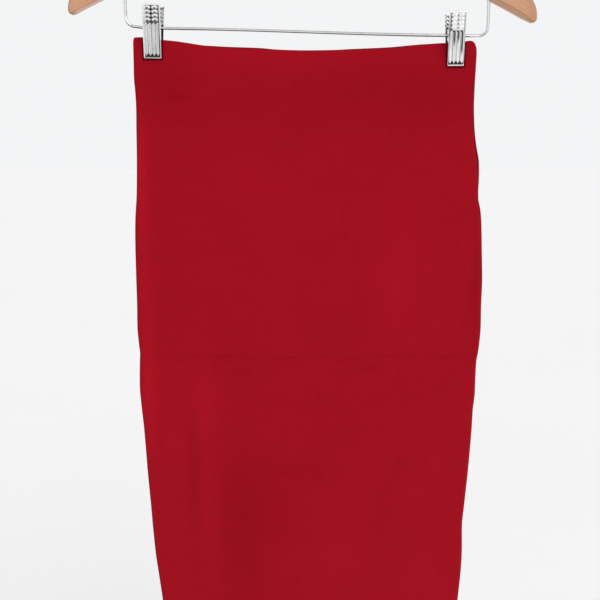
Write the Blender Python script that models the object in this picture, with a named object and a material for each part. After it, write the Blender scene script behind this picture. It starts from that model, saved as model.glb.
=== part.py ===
"""Bodycon maxi skirt of stretch jersey, hung flat by two sprung clips from the rail of a wooden hanger.

Metres, +Z up, +X to the right of someone who faces the front, which looks towards -Y.
The origin is the place inside the hook that rests on a rail or a wall hook.
Sizes below are in millimetres, and MM turns them into metres.
"""

import math
from collections import namedtuple

import bmesh
import bpy
from mathutils import Matrix, Vector

MM = 0.001
FIT = 0.3  # the gap between pieces that touch

# The skirt's cloth
WALL = 1.2
SEAM_GAP = 0.3
EDGE_RADIUS = 1.8  # how tightly the cloth turns at its two sides
WAIST_Z = -202.5  # the level of the waist line, at the two clips
COLUMNS = 24  # faces across a panel
LENGTH = 940

# The skirt's level sections: how far below the waist line, how far the side seams lie
# left and right of the hook, and half the skirt's depth in its middle and near its sides.
Section = namedtuple("Section", "drop left right middle side")
SECTIONS = (
    Section(0, 163.5, 156.5, 5.4, 2.2),
    Section(6, 165.1, 160.5, 5.6, 2.2),
    Section(42, 165.2, 159.9, 6.6, 2.4),
    Section(65, 164.4, 159.4, 7.4, 2.6),
    Section(99, 165.0, 162.4, 8.2, 2.8),
    Section(133, 166.2, 166.4, 8.8, 3.0),
    Section(203, 169.2, 171.7, 9.2, 3.2),
    Section(259, 169.6, 173.4, 9.5, 3.2),
    Section(310, 168.8, 171.7, 9.5, 3.2),
    Section(352, 168.3, 169.8, 9.5, 3.2),
    Section(429, 163.9, 165.8, 9.4, 3.2),
    Section(509, 158.3, 161.8, 9.2, 3.2),
    Section(576, 151.6, 159.0, 8.8, 3.2),
    Section(700, 141.8, 150.6, 8.2, 3.0),
    Section(820, 137.0, 146.0, 8.0, 3.0),
    Section(LENGTH, 134.0, 143.0, 7.8, 3.0),
)

# The front's waist edge: how far it hangs below the waist line, from side to side.
EdgePoint = namedtuple("EdgePoint", "x sag")
WAIST_EDGE = (
    EdgePoint(-165, -1.1),
    EdgePoint(-155, -1.1),
    EdgePoint(-140, 1.2),
    EdgePoint(-112, 5.2),
    EdgePoint(-70, 8.2),
    EdgePoint(-20, 11.5),
    EdgePoint(20, 11.5),
    EdgePoint(75, 8.8),
    EdgePoint(112, 5.8),
    EdgePoint(134, 3.9),
    EdgePoint(147, 3.6),
    EdgePoint(153, 1.8),
    EdgePoint(160, 1.4),
)
SAG_REACH = 130  # how far down the rows of the cloth still follow that edge
BACK_LIFT = 2.2  # how much higher the back's waist edge lies in its middle

# The largest creases, each a soft trough from one place to another on the front or the back.
# A trough with a negative depth is a ridge.
Crease = namedtuple("Crease", "side x1 drop1 x2 drop2 width depth")
FRONT, BACK = -1, 1
PACKING_FOLD = 309  # where the skirt was folded level for packing, and twice that further down
CREASES = (
    Crease(FRONT, -168, 309, 172, 308, 8, 0.7),
    Crease(FRONT, -152, 618, 158, 618, 8, 0.5),
    Crease(FRONT, -122, 350, -121, 500, 10, 0.9),
    Crease(FRONT, -105, 318, -93, 560, 14, -0.9),
    Crease(FRONT, -91, 412, -70, 660, 18, 1.8),
    Crease(FRONT, 71, 500, 97, 415, 20, 0.6),
    Crease(FRONT, 58, 160, 112, 290, 30, -0.6),
    Crease(FRONT, -144, 57, -106, 56, 8, 0.5),
    Crease(BACK, -166, 308, 172, 309, 8, 0.6),
    Crease(BACK, -152, 618, 158, 617, 8, 0.5),
    Crease(BACK, 96, 372, 84, 600, 16, 1.4),
    Crease(BACK, -60, 180, -95, 330, 26, 0.8),
    Crease(BACK, 118, 66, 140, 62, 8, 0.5),
)
CREASE_ROW = 9  # rows of the cloth lie this far above and below a level crease
CREASE_ENDS = 6.0  # a crease fades out over this part of its length at each end, as 1 / 6
SEAM_CALM = 6  # the higher, the closer to the seams the creases reach

# The other rows of the cloth, closest at the clips: drops below the waist line
RowRun = namedtuple("RowRun", "start stop step")
ROW_RUNS = (
    RowRun(0, 20, 9),
    RowRun(28, 50, 12),
    RowRun(54, 80, 18),
    RowRun(104, 290, 36),
    RowRun(343, 600, 34),
    RowRun(668, 920, 54),
)

# The hanger's wood, in the hanger's own frame, before it tilts on its hook
TILT = math.radians(1.1)  # the right arm hangs lower
BOARD = 12
BOARD_ROUND = 2.5
# The right arm's end in X and Z, from its underside round to its upper side
ARM_END = (
    (205.2, -178.0),
    (211.2, -181.2),
    (215.5, -183.3),
    (218.5, -183.4),
    (220.5, -181.8),
    (221.2, -178.8),
    (220.9, -174.8),
    (219.8, -170.2),
    (217.4, -165.0),
    (213.5, -159.6),
    (208.1, -154.6),
    (201.4, -150.1),
    (193.7, -146.0),
)
MIDDLE_Z = -116  # the underside's level in the middle
LOWER_BEND = 1.7  # the higher, the more of the slope lies far out
UPPER_BEND = 1.8
NECK_HEIGHT = 30
NECK_RISE = 5
NECK_REACH = 15
OUTLINE_STEPS = 11  # points along half of an edge
NECK_SHARES = (-0.13, -0.05, 0.05, 0.13)  # further points of the upper edge, round the neck
BORE_DEEPER = 1  # than the stem's seat
BORE_OVERRUN = 5

# The hook
HOOK_WIRE = 3.6
LOOP_RADIUS = 21.0  # to the middle of the wire
LOOP_START = math.radians(-50)
LOOP_END = math.radians(205)
LOOP_STEPS = 26
STEM_TOP = -58
STEM_SEAT = 22
STEM_STEPS = 8

# The rail
RAIL_WIRE = 2.85
RAIL_HALF = 171.9
RAIL_LEFT_Z = -191.6
RAIL_RIGHT_Z = -200.0
RAIL_BOW = 0.6
RAIL_CORNER = 9.5
RAIL_SEAT = 10
RAIL_STEPS = 10
CORNER_STEPS = 6

# The clips
CLIP_X = {"left": -146.7, "right": 141.7}
JAW_WIDTH = 15.2
JAW_RISE = 20.8  # from the pivot up to the top of a jaw
JAW_FALL = 28.5  # from the pivot down to its lip
JAW_SPREAD = 14.3  # from the middle out to a jaw's face, at its top
JAW_SHUT = 3.6  # and at its bottom
JAW_SHEET = 0.9
FLANGE_TOP = 2.4
FLANGE_PIVOT = 3.6
FLANGE_BOTTOM = 1.5
LIP_HEIGHT = 2.0
CHANNEL_SHORT = 1.0  # the flanged sheet ends this far above the lip's foot
EAR_RADIUS = 4.2
EAR_HALF_BASE = 7.0
EAR_SHEET = 0.8
EAR_BORE = 2.0
EAR_STEPS = 6
FRONT_EAR_X = 7.15  # to the middle of an ear
BACK_EAR_X = 5.9
RIB_OFFSETS = (-5.65, -1.88, 1.88, 5.65)
RIB_WIDTH = 3.0
RIB_HEIGHT = 0.8
RIB_TOP = 17.9  # below the top of the jaw, along its face
RIB_BOTTOM = 46.2
BUMP_OFFSETS = (-3.7, 3.7)
BUMP_ROWS = (3.6, 7.4, 11.1, 14.7)
BUMP_SIZE = (3.1, 0.75, 1.25)

# The springs
SPRING_WIRE = 1.0
SPRING_RADIUS = 2.6
SPRING_TURNS = 4
SPRING_HALF = 3.6
SPRING_TAIL_RISE = 14.0
COIL_STEPS = 8  # for each turn

GRIP_FLAT = 9.5  # the cloth lies pressed flat this far from a clip's middle
GRIP_FADE = 30
GRIP_BELOW = 3
GRIP_FADE_BELOW = 55
GRIP_DEPTH = WALL + FIT  # half the skirt's depth between a clip's jaws


def material(name, colour, roughness, metallic=0.0):
    made = bpy.data.materials.new(name)
    made.use_nodes = True
    shader = made.node_tree.nodes["Principled BSDF"]
    shader.inputs["Base Color"].default_value = (*colour, 1.0)
    shader.inputs["Roughness"].default_value = roughness
    shader.inputs["Metallic"].default_value = metallic
    return made


def place(name, data, finish, tilted=False):
    """An object of the part. One that is tilted swings about the hook's resting place."""
    data.name = name
    data.materials.clear()
    data.materials.append(finish)
    made = bpy.data.objects.new(name, data)
    bpy.context.scene.collection.objects.link(made)
    if tilted:
        made.rotation_euler.y = TILT
    return made


def mesh_from(bm):
    bmesh.ops.recalc_face_normals(bm, faces=bm.faces)
    mesh = bpy.data.meshes.new("shape")
    bm.to_mesh(mesh)
    bm.free()
    return mesh


def smooth_steps(value, low, high):
    """1 up to low, 0 from high on, and a soft slope between them."""
    t = min(1.0, max(0.0, (value - low) / (high - low)))
    return 1.0 - t * t * (3.0 - 2.0 * t)


def on_curve(rows, at):
    """The columns of a table, read on a smooth curve through its rows. Its first column is the place."""
    at = min(max(at, rows[0][0]), rows[-1][0])
    index = max(i for i in range(len(rows) - 1) if rows[i][0] <= at)
    before, low, high, after = (
        rows[min(max(index + step, 0), len(rows) - 1)] for step in (-1, 0, 1, 2)
    )
    span = high[0] - low[0]
    t = (at - low[0]) / span
    values = []
    for column in range(1, len(low)):
        slope_low = (high[column] - before[column]) / (high[0] - before[0]) * span
        slope_high = (after[column] - low[column]) / (after[0] - low[0]) * span
        values.append(
            (2 * t**3 - 3 * t**2 + 1) * low[column]
            + (t**3 - 2 * t**2 + t) * slope_low
            + (3 * t**2 - 2 * t**3) * high[column]
            + (t**3 - t**2) * slope_high
        )
    return values


# The skirt


def row_drops():
    """How far below the waist line the rows of the cloth lie."""
    drops = [LENGTH]
    for level in (PACKING_FOLD, 2 * PACKING_FOLD):
        drops += [level - CREASE_ROW, level, level + CREASE_ROW]
    for run in ROW_RUNS:
        drops += range(run.start, run.stop, run.step)
    return sorted(drops)


def grip(x, drop):
    """1 where the cloth is pressed flat by a clip, and 0 far from it."""
    pressed = 0.0
    for clip, clip_x in CLIP_X.items():
        lip = WAIST_Z - (rail_z(clip_x) - JAW_FALL)
        across = smooth_steps(abs(x - clip_x), GRIP_FLAT, GRIP_FLAT + GRIP_FADE)
        below = smooth_steps(drop, lip + GRIP_BELOW, lip + GRIP_BELOW + GRIP_FADE_BELOW)
        pressed = max(pressed, across * below)
    return pressed


def crease_depth(x, drop, side):
    """How far the creases push the cloth inwards at a place on one side."""
    here, total = Vector((x, drop)), 0.0
    for crease in CREASES:
        if crease.side != side:
            continue
        start, end = Vector((crease.x1, crease.drop1)), Vector((crease.x2, crease.drop2))
        run = end - start
        along = min(1.0, max(0.0, (here - start).dot(run) / run.length_squared))
        away = (here - start - run * along).length / crease.width
        fade = min(1.0, CREASE_ENDS * along, CREASE_ENDS * (1.0 - along))
        total += crease.depth * fade * math.exp(-away * away)
    return total


def skirt_point(across, row, side, inset):
    """A point of a panel's wall, from -1 at the left seam to 1 at the right one, inset from its outside."""
    left, right, middle, near_side = on_curve(SECTIONS, row)
    half = (left + right) / 2 - inset
    share = math.sin(across * math.pi / 2)
    x = (right - left) / 2 + half * share
    sag = on_curve(WAIST_EDGE, x)[0]
    if side == BACK:
        sag -= BACK_LIFT * (1 - share * share)
    drop = row + sag * max(0.0, 1.0 - row / SAG_REACH) ** 2
    depth = near_side + (middle - near_side) * (1 - share * share)
    depth -= crease_depth(x, drop, side) * (1 - share**SEAM_CALM)
    pressed = grip(x, row)
    depth = depth * (1 - pressed) + GRIP_DEPTH * pressed
    radius = max(EDGE_RADIUS - inset, EDGE_RADIUS / 3)
    bluntness = 2 * half * radius / (depth - inset) ** 2
    depth = (depth - inset) * math.sqrt(max(0.0, 1 - abs(share) ** bluntness))
    return Vector((x, side * max(depth, SEAM_GAP / 2), WAIST_Z - drop)) * MM


def skirt_panel(name, side, finish):
    """A panel from seam to seam and from waist to hem: a grid for its outside, extruded to its inside."""
    drops = row_drops()
    rows = len(drops) - 1
    bm = bmesh.new()
    bmesh.ops.create_grid(bm, x_segments=COLUMNS, y_segments=rows, size=1)
    made = bmesh.ops.extrude_face_region(bm, geom=bm.faces[:], use_keep_orig=True)["geom"]
    inner = {v for v in made if isinstance(v, bmesh.types.BMVert)}
    for v in bm.verts:
        row = drops[round((1 - v.co.y) / 2 * rows)]
        v.co = skirt_point(v.co.x, row, side, WALL if v in inner else 0.0)
    made = place(name, mesh_from(bm), finish)
    made.data.shade_smooth()
    made.data.set_sharp_from_angle(angle=math.radians(50))
    return made


# The wooden hanger


def tilted_point(x, z):
    """A place of the hanger's own frame, after it has tilted on its hook."""
    return (
        x * math.cos(TILT) + z * math.sin(TILT),
        -x * math.sin(TILT) + z * math.cos(TILT),
    )


def underside(x):
    reach, level = ARM_END[0]
    return level + (MIDDLE_Z - level) * (1 - min(1.0, abs(x) / reach) ** LOWER_BEND)


def upper_side(x):
    reach, level = ARM_END[-1]
    rise = MIDDLE_Z + NECK_HEIGHT - level
    neck = NECK_RISE * math.exp(-((x / NECK_REACH) ** 2))
    return level + rise * (1 - min(1.0, abs(x) / reach) ** UPPER_BEND) + neck


def hanger_outline():
    """The board's outline in X and Z, along its underside from left to right and back along its top."""
    lower_reach = ARM_END[0][0]
    upper_reach = ARM_END[-1][0]
    shares = [step / OUTLINE_STEPS for step in range(-OUTLINE_STEPS, OUTLINE_STEPS + 1)]
    points = [(share * lower_reach, underside(share * lower_reach)) for share in shares]
    points += ARM_END[1:-1]
    for share in sorted([*shares, *NECK_SHARES]):
        points.append((-share * upper_reach, upper_side(share * upper_reach)))
    points += [(-x, z) for x, z in reversed(ARM_END[1:-1])]
    return points


def bore_cutter(name, x, z_low, z_high, radius, tilted=False):
    """A round cutter along Z, which the wood's holes are made with."""
    bm = bmesh.new()
    bmesh.ops.create_cone(
        bm,
        cap_ends=True,
        segments=12,
        radius1=radius * MM,
        radius2=radius * MM,
        depth=(z_high - z_low) * MM,
        matrix=Matrix.Translation(Vector((x, 0, (z_low + z_high) / 2)) * MM),
    )
    cutter = bpy.data.objects.new(name, mesh_from(bm))
    bpy.context.scene.collection.objects.link(cutter)
    cutter.hide_render = True
    cutter.display_type = "WIRE"
    if tilted:
        cutter.rotation_euler.y = TILT
    return cutter


def hanger_wood(finish):
    """An arched board with rounded edges, bored for the hook and for the rail's two ends."""
    bm = bmesh.new()
    corners = [bm.verts.new(Vector((x, -BOARD / 2, z)) * MM) for x, z in hanger_outline()]
    face = bm.faces.new(corners)
    made = bmesh.ops.extrude_face_region(bm, geom=[face], use_keep_orig=True)["geom"]
    moved = [v for v in made if isinstance(v, bmesh.types.BMVert)]
    bmesh.ops.translate(bm, verts=moved, vec=(0, BOARD * MM, 0))
    bmesh.ops.recalc_face_normals(bm, faces=bm.faces)
    rims = [e for e in bm.edges if abs(e.verts[0].co.y - e.verts[1].co.y) < BOARD * MM / 2]
    bmesh.ops.bevel(
        bm,
        geom=rims,
        affect="EDGES",
        offset=BOARD_ROUND * MM,
        segments=3,
        profile=0.5,
        clamp_overlap=True,
        material=-1,
    )
    wood = place("hanger_wood", mesh_from(bm), finish, tilted=True)
    wood.data.shade_smooth()
    wood.data.set_sharp_from_angle(angle=math.radians(40))
    neck_top = upper_side(0)
    cutters = [
        bore_cutter(
            "hook_bore",
            0,
            neck_top - STEM_SEAT - BORE_DEEPER,
            neck_top + BORE_OVERRUN,
            HOOK_WIRE / 2 + FIT,
            tilted=True,
        )
    ]
    for side in (-1, 1):
        top = rail_seat_z(side) + FIT
        x = side * RAIL_HALF
        cutters.append(
            bore_cutter(f"rail_bore_{side}", x, top - 2 * RAIL_SEAT, top, RAIL_WIRE / 2 + FIT)
        )
    for cutter in cutters:
        cut = wood.modifiers.new(cutter.name, "BOOLEAN")
        cut.operation = "DIFFERENCE"
        cut.object = cutter
    return wood


# Wires


def wire(name, points, diameter, sides_setting, finish, tilted=False):
    """A round wire through the points, which are in millimetres."""
    curve = bpy.data.curves.new(name, "CURVE")
    curve.dimensions = "3D"
    curve.bevel_depth = diameter / 2 * MM
    curve.bevel_resolution = sides_setting
    curve.use_fill_caps = True
    spline = curve.splines.new("POLY")
    spline.points.add(len(points) - 1)
    for target, point in zip(spline.points, points, strict=True):
        target.co = (*(Vector(point) * MM), 1.0)
    spline.use_smooth = True
    return place(name, curve, finish, tilted)


def hanger_hook(finish):
    """A stem that swings out to one side and round over the origin."""
    centre_z = HOOK_WIRE / 2 - LOOP_RADIUS
    start = Vector((math.cos(LOOP_START), 0, math.sin(LOOP_START))) * LOOP_RADIUS
    start.z += centre_z
    heading = Vector((-math.sin(LOOP_START), 0, math.cos(LOOP_START)))
    stem_top = Vector((0, 0, STEM_TOP))
    pull = (start - stem_top).length
    points = [Vector((0, 0, upper_side(0) - STEM_SEAT)), Vector((0, 0, (upper_side(0) + STEM_TOP) / 2))]
    for step in range(STEM_STEPS):
        t = step / STEM_STEPS
        points.append(
            stem_top * (2 * t**3 - 3 * t**2 + 1)
            + Vector((0, 0, pull)) * (t**3 - 2 * t**2 + t)
            + start * (3 * t**2 - 2 * t**3)
            + heading * pull * (t**3 - t**2)
        )
    for step in range(LOOP_STEPS + 1):
        angle = LOOP_START + (LOOP_END - LOOP_START) * step / LOOP_STEPS
        points.append(Vector((math.cos(angle), 0, math.sin(angle))) * LOOP_RADIUS + Vector((0, 0, centre_z)))
    return wire("hanger_hook", points, HOOK_WIRE, 3, finish, tilted=True)


def rail_z(x):
    """The level of the rail's middle line, which slopes, and bows a little up and then down."""
    share = (x + RAIL_HALF) / (2 * RAIL_HALF)
    return RAIL_LEFT_Z + (RAIL_RIGHT_Z - RAIL_LEFT_Z) * share + RAIL_BOW * math.sin(2 * math.pi * share)


def rail_seat_z(side):
    """How high the rail's end reaches into the wood, on the left (-1) or the right (1)."""
    x = side * RAIL_HALF
    own_x = x - underside(x) * math.sin(TILT)
    return tilted_point(own_x, underside(own_x))[1] + RAIL_SEAT


def hanger_rail(finish):
    """A wire that comes down out of one arm, runs level and goes up into the other."""
    points = []
    inner = RAIL_HALF - RAIL_CORNER
    for side in (-1, 1):
        level = rail_z(side * inner)
        leg = [Vector((side * RAIL_HALF, 0, rail_seat_z(side)))]
        for step in range(CORNER_STEPS + 1):
            angle = math.pi / 2 * step / CORNER_STEPS
            out = inner + RAIL_CORNER * math.cos(angle)
            leg.append(Vector((side * out, 0, level + RAIL_CORNER * (1 - math.sin(angle)))))
        points += leg if side < 0 else leg[::-1]
        if side < 0:
            for step in range(1, RAIL_STEPS):
                x = inner * (2 * step / RAIL_STEPS - 1)
                points.append(Vector((x, 0, rail_z(x))))
    return wire("hanger_rail", points, RAIL_WIRE, 2, finish)


def spring(name, clip_x, finish):
    """A coil round the rail, whose two ends press the tops of the jaws apart."""
    axis = Vector((clip_x, 0, rail_z(clip_x)))
    tail_y = jaw_face_y(SPRING_TAIL_RISE) - JAW_SHEET / math.cos(jaw_lean()) - FIT - SPRING_WIRE / 2
    points = [axis + Vector((-SPRING_HALF, -tail_y, SPRING_TAIL_RISE))]
    steps = COIL_STEPS * SPRING_TURNS
    for step in range(steps + 1):
        share = step / steps
        angle = math.pi * 0.75 + (2 * SPRING_TURNS - 0.5) * math.pi * share
        points.append(
            axis
            + Vector(
                (
                    SPRING_HALF * (2 * share - 1),
                    SPRING_RADIUS * math.cos(angle),
                    SPRING_RADIUS * math.sin(angle),
                )
            )
        )
    points.append(axis + Vector((SPRING_HALF, tail_y, SPRING_TAIL_RISE)))
    return wire(name, points, SPRING_WIRE, 1, finish)


# The clips' jaws, made lying along -Z with their face at Y = 0, and then leant onto the pivot


def jaw_face_y(rise):
    """How far a jaw's face lies from the middle, at a level above the pivot."""
    share = (JAW_RISE - rise) / (JAW_RISE + JAW_FALL)
    return JAW_SPREAD + (JAW_SHUT - JAW_SPREAD) * share


def jaw_lean():
    return math.atan2(JAW_SPREAD - JAW_SHUT, JAW_RISE + JAW_FALL)


def jaw_length():
    return math.hypot(JAW_SPREAD - JAW_SHUT, JAW_RISE + JAW_FALL)


def pivot_in_jaw():
    """The pivot's depth behind the face, and its distance below the top, in the jaw's own lie."""
    lean = jaw_lean()
    depth = JAW_SPREAD * math.cos(lean) - JAW_RISE * math.sin(lean)
    along = JAW_SPREAD * math.sin(lean) + JAW_RISE * math.cos(lean)
    return depth, along


def box(bm, low, high):
    """A block between two corners, in millimetres."""
    low, high = Vector(low) * MM, Vector(high) * MM
    size = high - low
    matrix = Matrix.Translation((low + high) / 2) @ Matrix.Diagonal((*size, 1.0))
    return bmesh.ops.create_cube(bm, size=1.0, matrix=matrix)["verts"]


def jaw_channel():
    """The jaw's sheet and its two side flanges: a U in plan, deepest at the pivot."""
    half, sheet = JAW_WIDTH / 2, JAW_SHEET
    plan = (
        (-half, 1),
        (-half, 0),
        (half, 0),
        (half, 1),
        (half - sheet, 1),
        (half - sheet, sheet),
        (sheet - half, sheet),
        (sheet - half, 1),
    )
    along = pivot_in_jaw()[1]
    stations = ((0, FLANGE_TOP), (along, FLANGE_PIVOT), (jaw_length() - CHANNEL_SHORT, FLANGE_BOTTOM))
    bm = bmesh.new()
    rings = []
    for down, depth in stations:
        # A plan depth of 1 stands for the flange's edge, which each station sets.
        corners = [bm.verts.new(Vector((x, depth if y == 1 else y, -down)) * MM) for x, y in plan]
        rings.append([bm.edges.new(pair) for pair in zip(corners, corners[1:] + corners[:1], strict=True)])
        if down == 0 or down == stations[-1][0]:
            bm.faces.new(corners)
    for upper, lower in zip(rings, rings[1:], strict=False):
        bmesh.ops.bridge_loops(bm, edges=upper + lower)
    return mesh_from(bm)


def jaw_ears(ear_x):
    """Two ears that reach from the sheet round the rail."""
    depth, along = pivot_in_jaw()
    bm = bmesh.new()
    for side in (-1, 1):
        x = side * ear_x - EAR_SHEET / 2
        outline = [(JAW_SHEET / 2, along - EAR_HALF_BASE), (JAW_SHEET / 2, along + EAR_HALF_BASE)]
        for step in range(EAR_STEPS + 1):
            angle = math.pi * (step / EAR_STEPS - 0.5)
            outline.append((depth + EAR_RADIUS * math.cos(angle), along - EAR_RADIUS * math.sin(angle)))
        corners = [bm.verts.new(Vector((x, y, -down)) * MM) for y, down in outline]
        face = bm.faces.new(corners)
        made = bmesh.ops.extrude_face_region(bm, geom=[face], use_keep_orig=True)["geom"]
        moved = [v for v in made if isinstance(v, bmesh.types.BMVert)]
        bmesh.ops.translate(bm, verts=moved, vec=(EAR_SHEET * MM, 0, 0))
    return mesh_from(bm)


def jaw_relief():
    """What stands on the face and at its foot: ribs, thumb bumps and the lip that grips the cloth."""
    bm = bmesh.new()
    for x in RIB_OFFSETS:
        turn = Matrix.Diagonal((RIB_WIDTH / 2 * MM, RIB_HEIGHT * MM, (RIB_BOTTOM - RIB_TOP) * MM, 1.0))
        middle = Matrix.Translation(Vector((x, 0, -(RIB_TOP + RIB_BOTTOM) / 2)) * MM)
        bmesh.ops.create_cone(
            bm, cap_ends=True, segments=8, radius1=1, radius2=1, depth=1, matrix=middle @ turn
        )
    for x in BUMP_OFFSETS:
        for down in BUMP_ROWS:
            size = Matrix.Diagonal((*(Vector(BUMP_SIZE) * MM), 1.0))
            middle = Matrix.Translation(Vector((x, 0, -down)) * MM)
            bmesh.ops.create_uvsphere(bm, u_segments=8, v_segments=4, radius=1, matrix=middle @ size)
    half = JAW_WIDTH / 2 - JAW_SHEET / 2
    length = jaw_length()
    lip_depth = (JAW_SHUT - GRIP_DEPTH - FIT) / math.cos(jaw_lean())
    box(bm, (-half, -RIB_HEIGHT / 2, -length), (half, lip_depth, LIP_HEIGHT - length))
    return mesh_from(bm)


def ear_bore():
    """The cutter for both ears' holes."""
    depth, along = pivot_in_jaw()
    bm = bmesh.new()
    bmesh.ops.create_cone(
        bm,
        cap_ends=True,
        segments=12,
        radius1=EAR_BORE * MM,
        radius2=EAR_BORE * MM,
        depth=2 * JAW_WIDTH * MM,
        matrix=Matrix.Translation(Vector((0, depth, -along)) * MM) @ Matrix.Rotation(math.pi / 2, 4, "Y"),
    )
    return mesh_from(bm)


def combined(steps):
    """One mesh from several: the first, then each further one joined to it or cut from it."""
    objects = [bpy.data.objects.new("shape", mesh) for mesh, _ in steps]
    for made in objects:
        bpy.context.scene.collection.objects.link(made)
    for made, (_, operation) in zip(objects[1:], steps[1:], strict=True):
        joined = objects[0].modifiers.new(operation, "BOOLEAN")
        joined.operation = operation
        joined.object = made
    seen = objects[0].evaluated_get(bpy.context.evaluated_depsgraph_get())
    result = bpy.data.meshes.new_from_object(seen)
    for made in objects:
        bpy.data.objects.remove(made)
    return result


def jaw_mesh(ear_x, side):
    """A whole jaw, leant so that its pivot is at the origin, on the front (-1) or the back (1)."""
    mesh = combined(
        [
            (jaw_channel(), None),
            (jaw_ears(ear_x), "UNION"),
            (jaw_relief(), "UNION"),
            (ear_bore(), "DIFFERENCE"),
        ]
    )
    depth, along = pivot_in_jaw()
    to_pivot = Matrix.Translation(Vector((0, -depth, along)) * MM)
    lean = Matrix.Rotation(jaw_lean(), 4, "X")
    mesh.transform(lean @ to_pivot)
    if side == BACK:
        mesh.transform(Matrix.Rotation(math.pi, 4, "Z"))
    mesh.shade_smooth()
    mesh.set_sharp_from_angle(angle=math.radians(35))
    return mesh


def clips(finish):
    """Both clips. A front jaw's ears lie outside those of the back jaw."""
    meshes = {"front": jaw_mesh(FRONT_EAR_X, FRONT), "back": jaw_mesh(BACK_EAR_X, BACK)}
    for clip, clip_x in CLIP_X.items():
        for jaw, mesh in meshes.items():
            made = place(f"clip_{clip}_{jaw}_jaw", mesh, finish)
            made.location = Vector((clip_x, 0, rail_z(clip_x))) * MM
        spring(f"clip_{clip}_spring", clip_x, finish)


def main():
    for old in list(bpy.data.objects):
        bpy.data.objects.remove(old)
    jersey = material("red_jersey", (0.342, 0.0064, 0.0144), 0.85)
    wood = material("pale_wood", (0.61, 0.305, 0.171), 0.45)
    chrome = material("chromed_steel", (0.80, 0.80, 0.82), 0.15, 1.0)
    skirt_panel("skirt_front", FRONT, jersey)
    skirt_panel("skirt_back", BACK, jersey)
    hanger_wood(wood)
    hanger_hook(chrome)
    hanger_rail(chrome)
    clips(chrome)


main()
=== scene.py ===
"""A bodycon maxi skirt of red stretch jersey, hung flat by two sprung clips from a wooden hanger.

Sizes are in millimetres in the part's frame, and MM turns them into metres. +X is to the right
of someone who faces the front, which looks towards -Y, and +Z is up. The origin is the place
inside the hook that rests on a rail. "Drop" is how far a place lies below the skirt's waist line.
"""

import math
from collections import namedtuple
from types import SimpleNamespace

import bmesh
import bpy
import numpy as np
from mathutils import Matrix, Vector, noise


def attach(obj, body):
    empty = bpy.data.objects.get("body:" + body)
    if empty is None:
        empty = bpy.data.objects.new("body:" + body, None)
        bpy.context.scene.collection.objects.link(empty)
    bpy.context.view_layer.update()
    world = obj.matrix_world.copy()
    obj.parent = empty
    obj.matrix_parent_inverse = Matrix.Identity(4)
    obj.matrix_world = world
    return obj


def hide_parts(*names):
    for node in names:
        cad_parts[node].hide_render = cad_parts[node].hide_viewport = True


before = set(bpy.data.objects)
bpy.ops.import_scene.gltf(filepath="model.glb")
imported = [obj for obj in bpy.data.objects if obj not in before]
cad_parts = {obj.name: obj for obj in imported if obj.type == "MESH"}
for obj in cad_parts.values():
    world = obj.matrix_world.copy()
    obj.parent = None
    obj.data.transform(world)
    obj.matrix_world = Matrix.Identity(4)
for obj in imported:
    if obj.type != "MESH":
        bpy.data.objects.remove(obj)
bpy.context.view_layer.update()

MM = 0.001
FRONT, BACK = -1, 1

# Camera
CAMERA_PLACE = (-6.64, -900.0, -296.3)
CAMERA_PITCH = 10.0  # degrees down
LENS = 54.78  # on a sensor 36 wide

# The skirt's cloth
WALL = 1.2
HEM_WALL = 2.1  # where the hem is turned up inside
HEM_TURN = 24.0
SEAM_GAP = 0.3
EDGE_RADIUS = 1.8  # how tightly the cloth turns at its two sides
WAIST_Z = -202.5
LENGTH = 940.0
SAG_REACH = 130.0  # how far down the rows of the cloth still follow the waist edge

# Down the skirt: the drop, how far the front panel's side edges lie left and right of the hook,
# and how far the back panel shows past the front's right edge
OUTLINE = (
    (0, 163.9, 156.9, 0.0), (0.6, 164.8, 158.2, 0.0), (1.8, 165.3, 159.5, 0.0),
    (3.6, 165.7, 160.7, 0.1), (6.5, 165.8, 161.6, 0.1), (10, 165.8, 162.0, 0.2),
    (23, 165.9, 161.8, 0.2), (38, 166.0, 161.3, 0.2), (50, 165.2, 160.9, 0.4),
    (65, 164.8, 160.8, 0.6), (84, 165.2, 161.6, 1.0), (99, 165.4, 163.0, 1.6),
    (114, 165.7, 165.8, 1.8), (130, 166.2, 167.1, 1.3), (145, 166.8, 167.6, 0.6),
    (153, 167.3, 168.0, 0.7), (162, 168.2, 169.7, 1.1), (177, 169.2, 171.3, 1.1),
    (201, 169.8, 172.7, 0.9), (233, 169.9, 174.3, 0.8), (257, 169.9, 174.2, 0.7),
    (282, 170.2, 174.7, 0.5), (298, 169.2, 173.9, 0.4), (307, 168.4, 173.0, 0.3),
    (316, 168.9, 171.8, 0.2), (340, 169.7, 171.4, 0.2), (351, 169.4, 171.3, 0.2),
    (367, 168.2, 170.0, 0.1), (384, 166.8, 169.6, 0.1), (408, 165.5, 168.5, 0.1),
    (434, 164.2, 167.0, 0.1), (469, 161.9, 164.4, 0.1), (491, 160.7, 162.9, 0.1),
    (522, 158.5, 163.6, 0.1), (545, 155.9, 162.8, 0.2), (568, 153.2, 161.2, 0.2),
    (600, 149.9, 158.5, 0.2), (618, 147.8, 156.4, 0.2), (632, 147.5, 156.2, 0.2),
    (700, 142.2, 151.2, 0.2), (760, 139.8, 148.0, 0.2), (820, 137.3, 146.6, 0.2),
    (880, 136.2, 144.2, 0.2), (LENGTH, 134.3, 143.5, 0.1),
)

# The drop, and half the skirt's depth there in its middle and near its sides
DEPTHS = (
    (0, 5.4, 2.2), (42, 6.6, 2.4), (99, 8.2, 2.8), (203, 9.2, 3.2), (310, 9.5, 3.2),
    (429, 9.4, 3.2), (576, 8.8, 3.2), (700, 8.2, 3.0), (LENGTH, 7.8, 3.0),
)

EDGE_PLACES = range(-166, 163)  # where in X the waist's edges are read, from side to side

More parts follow.
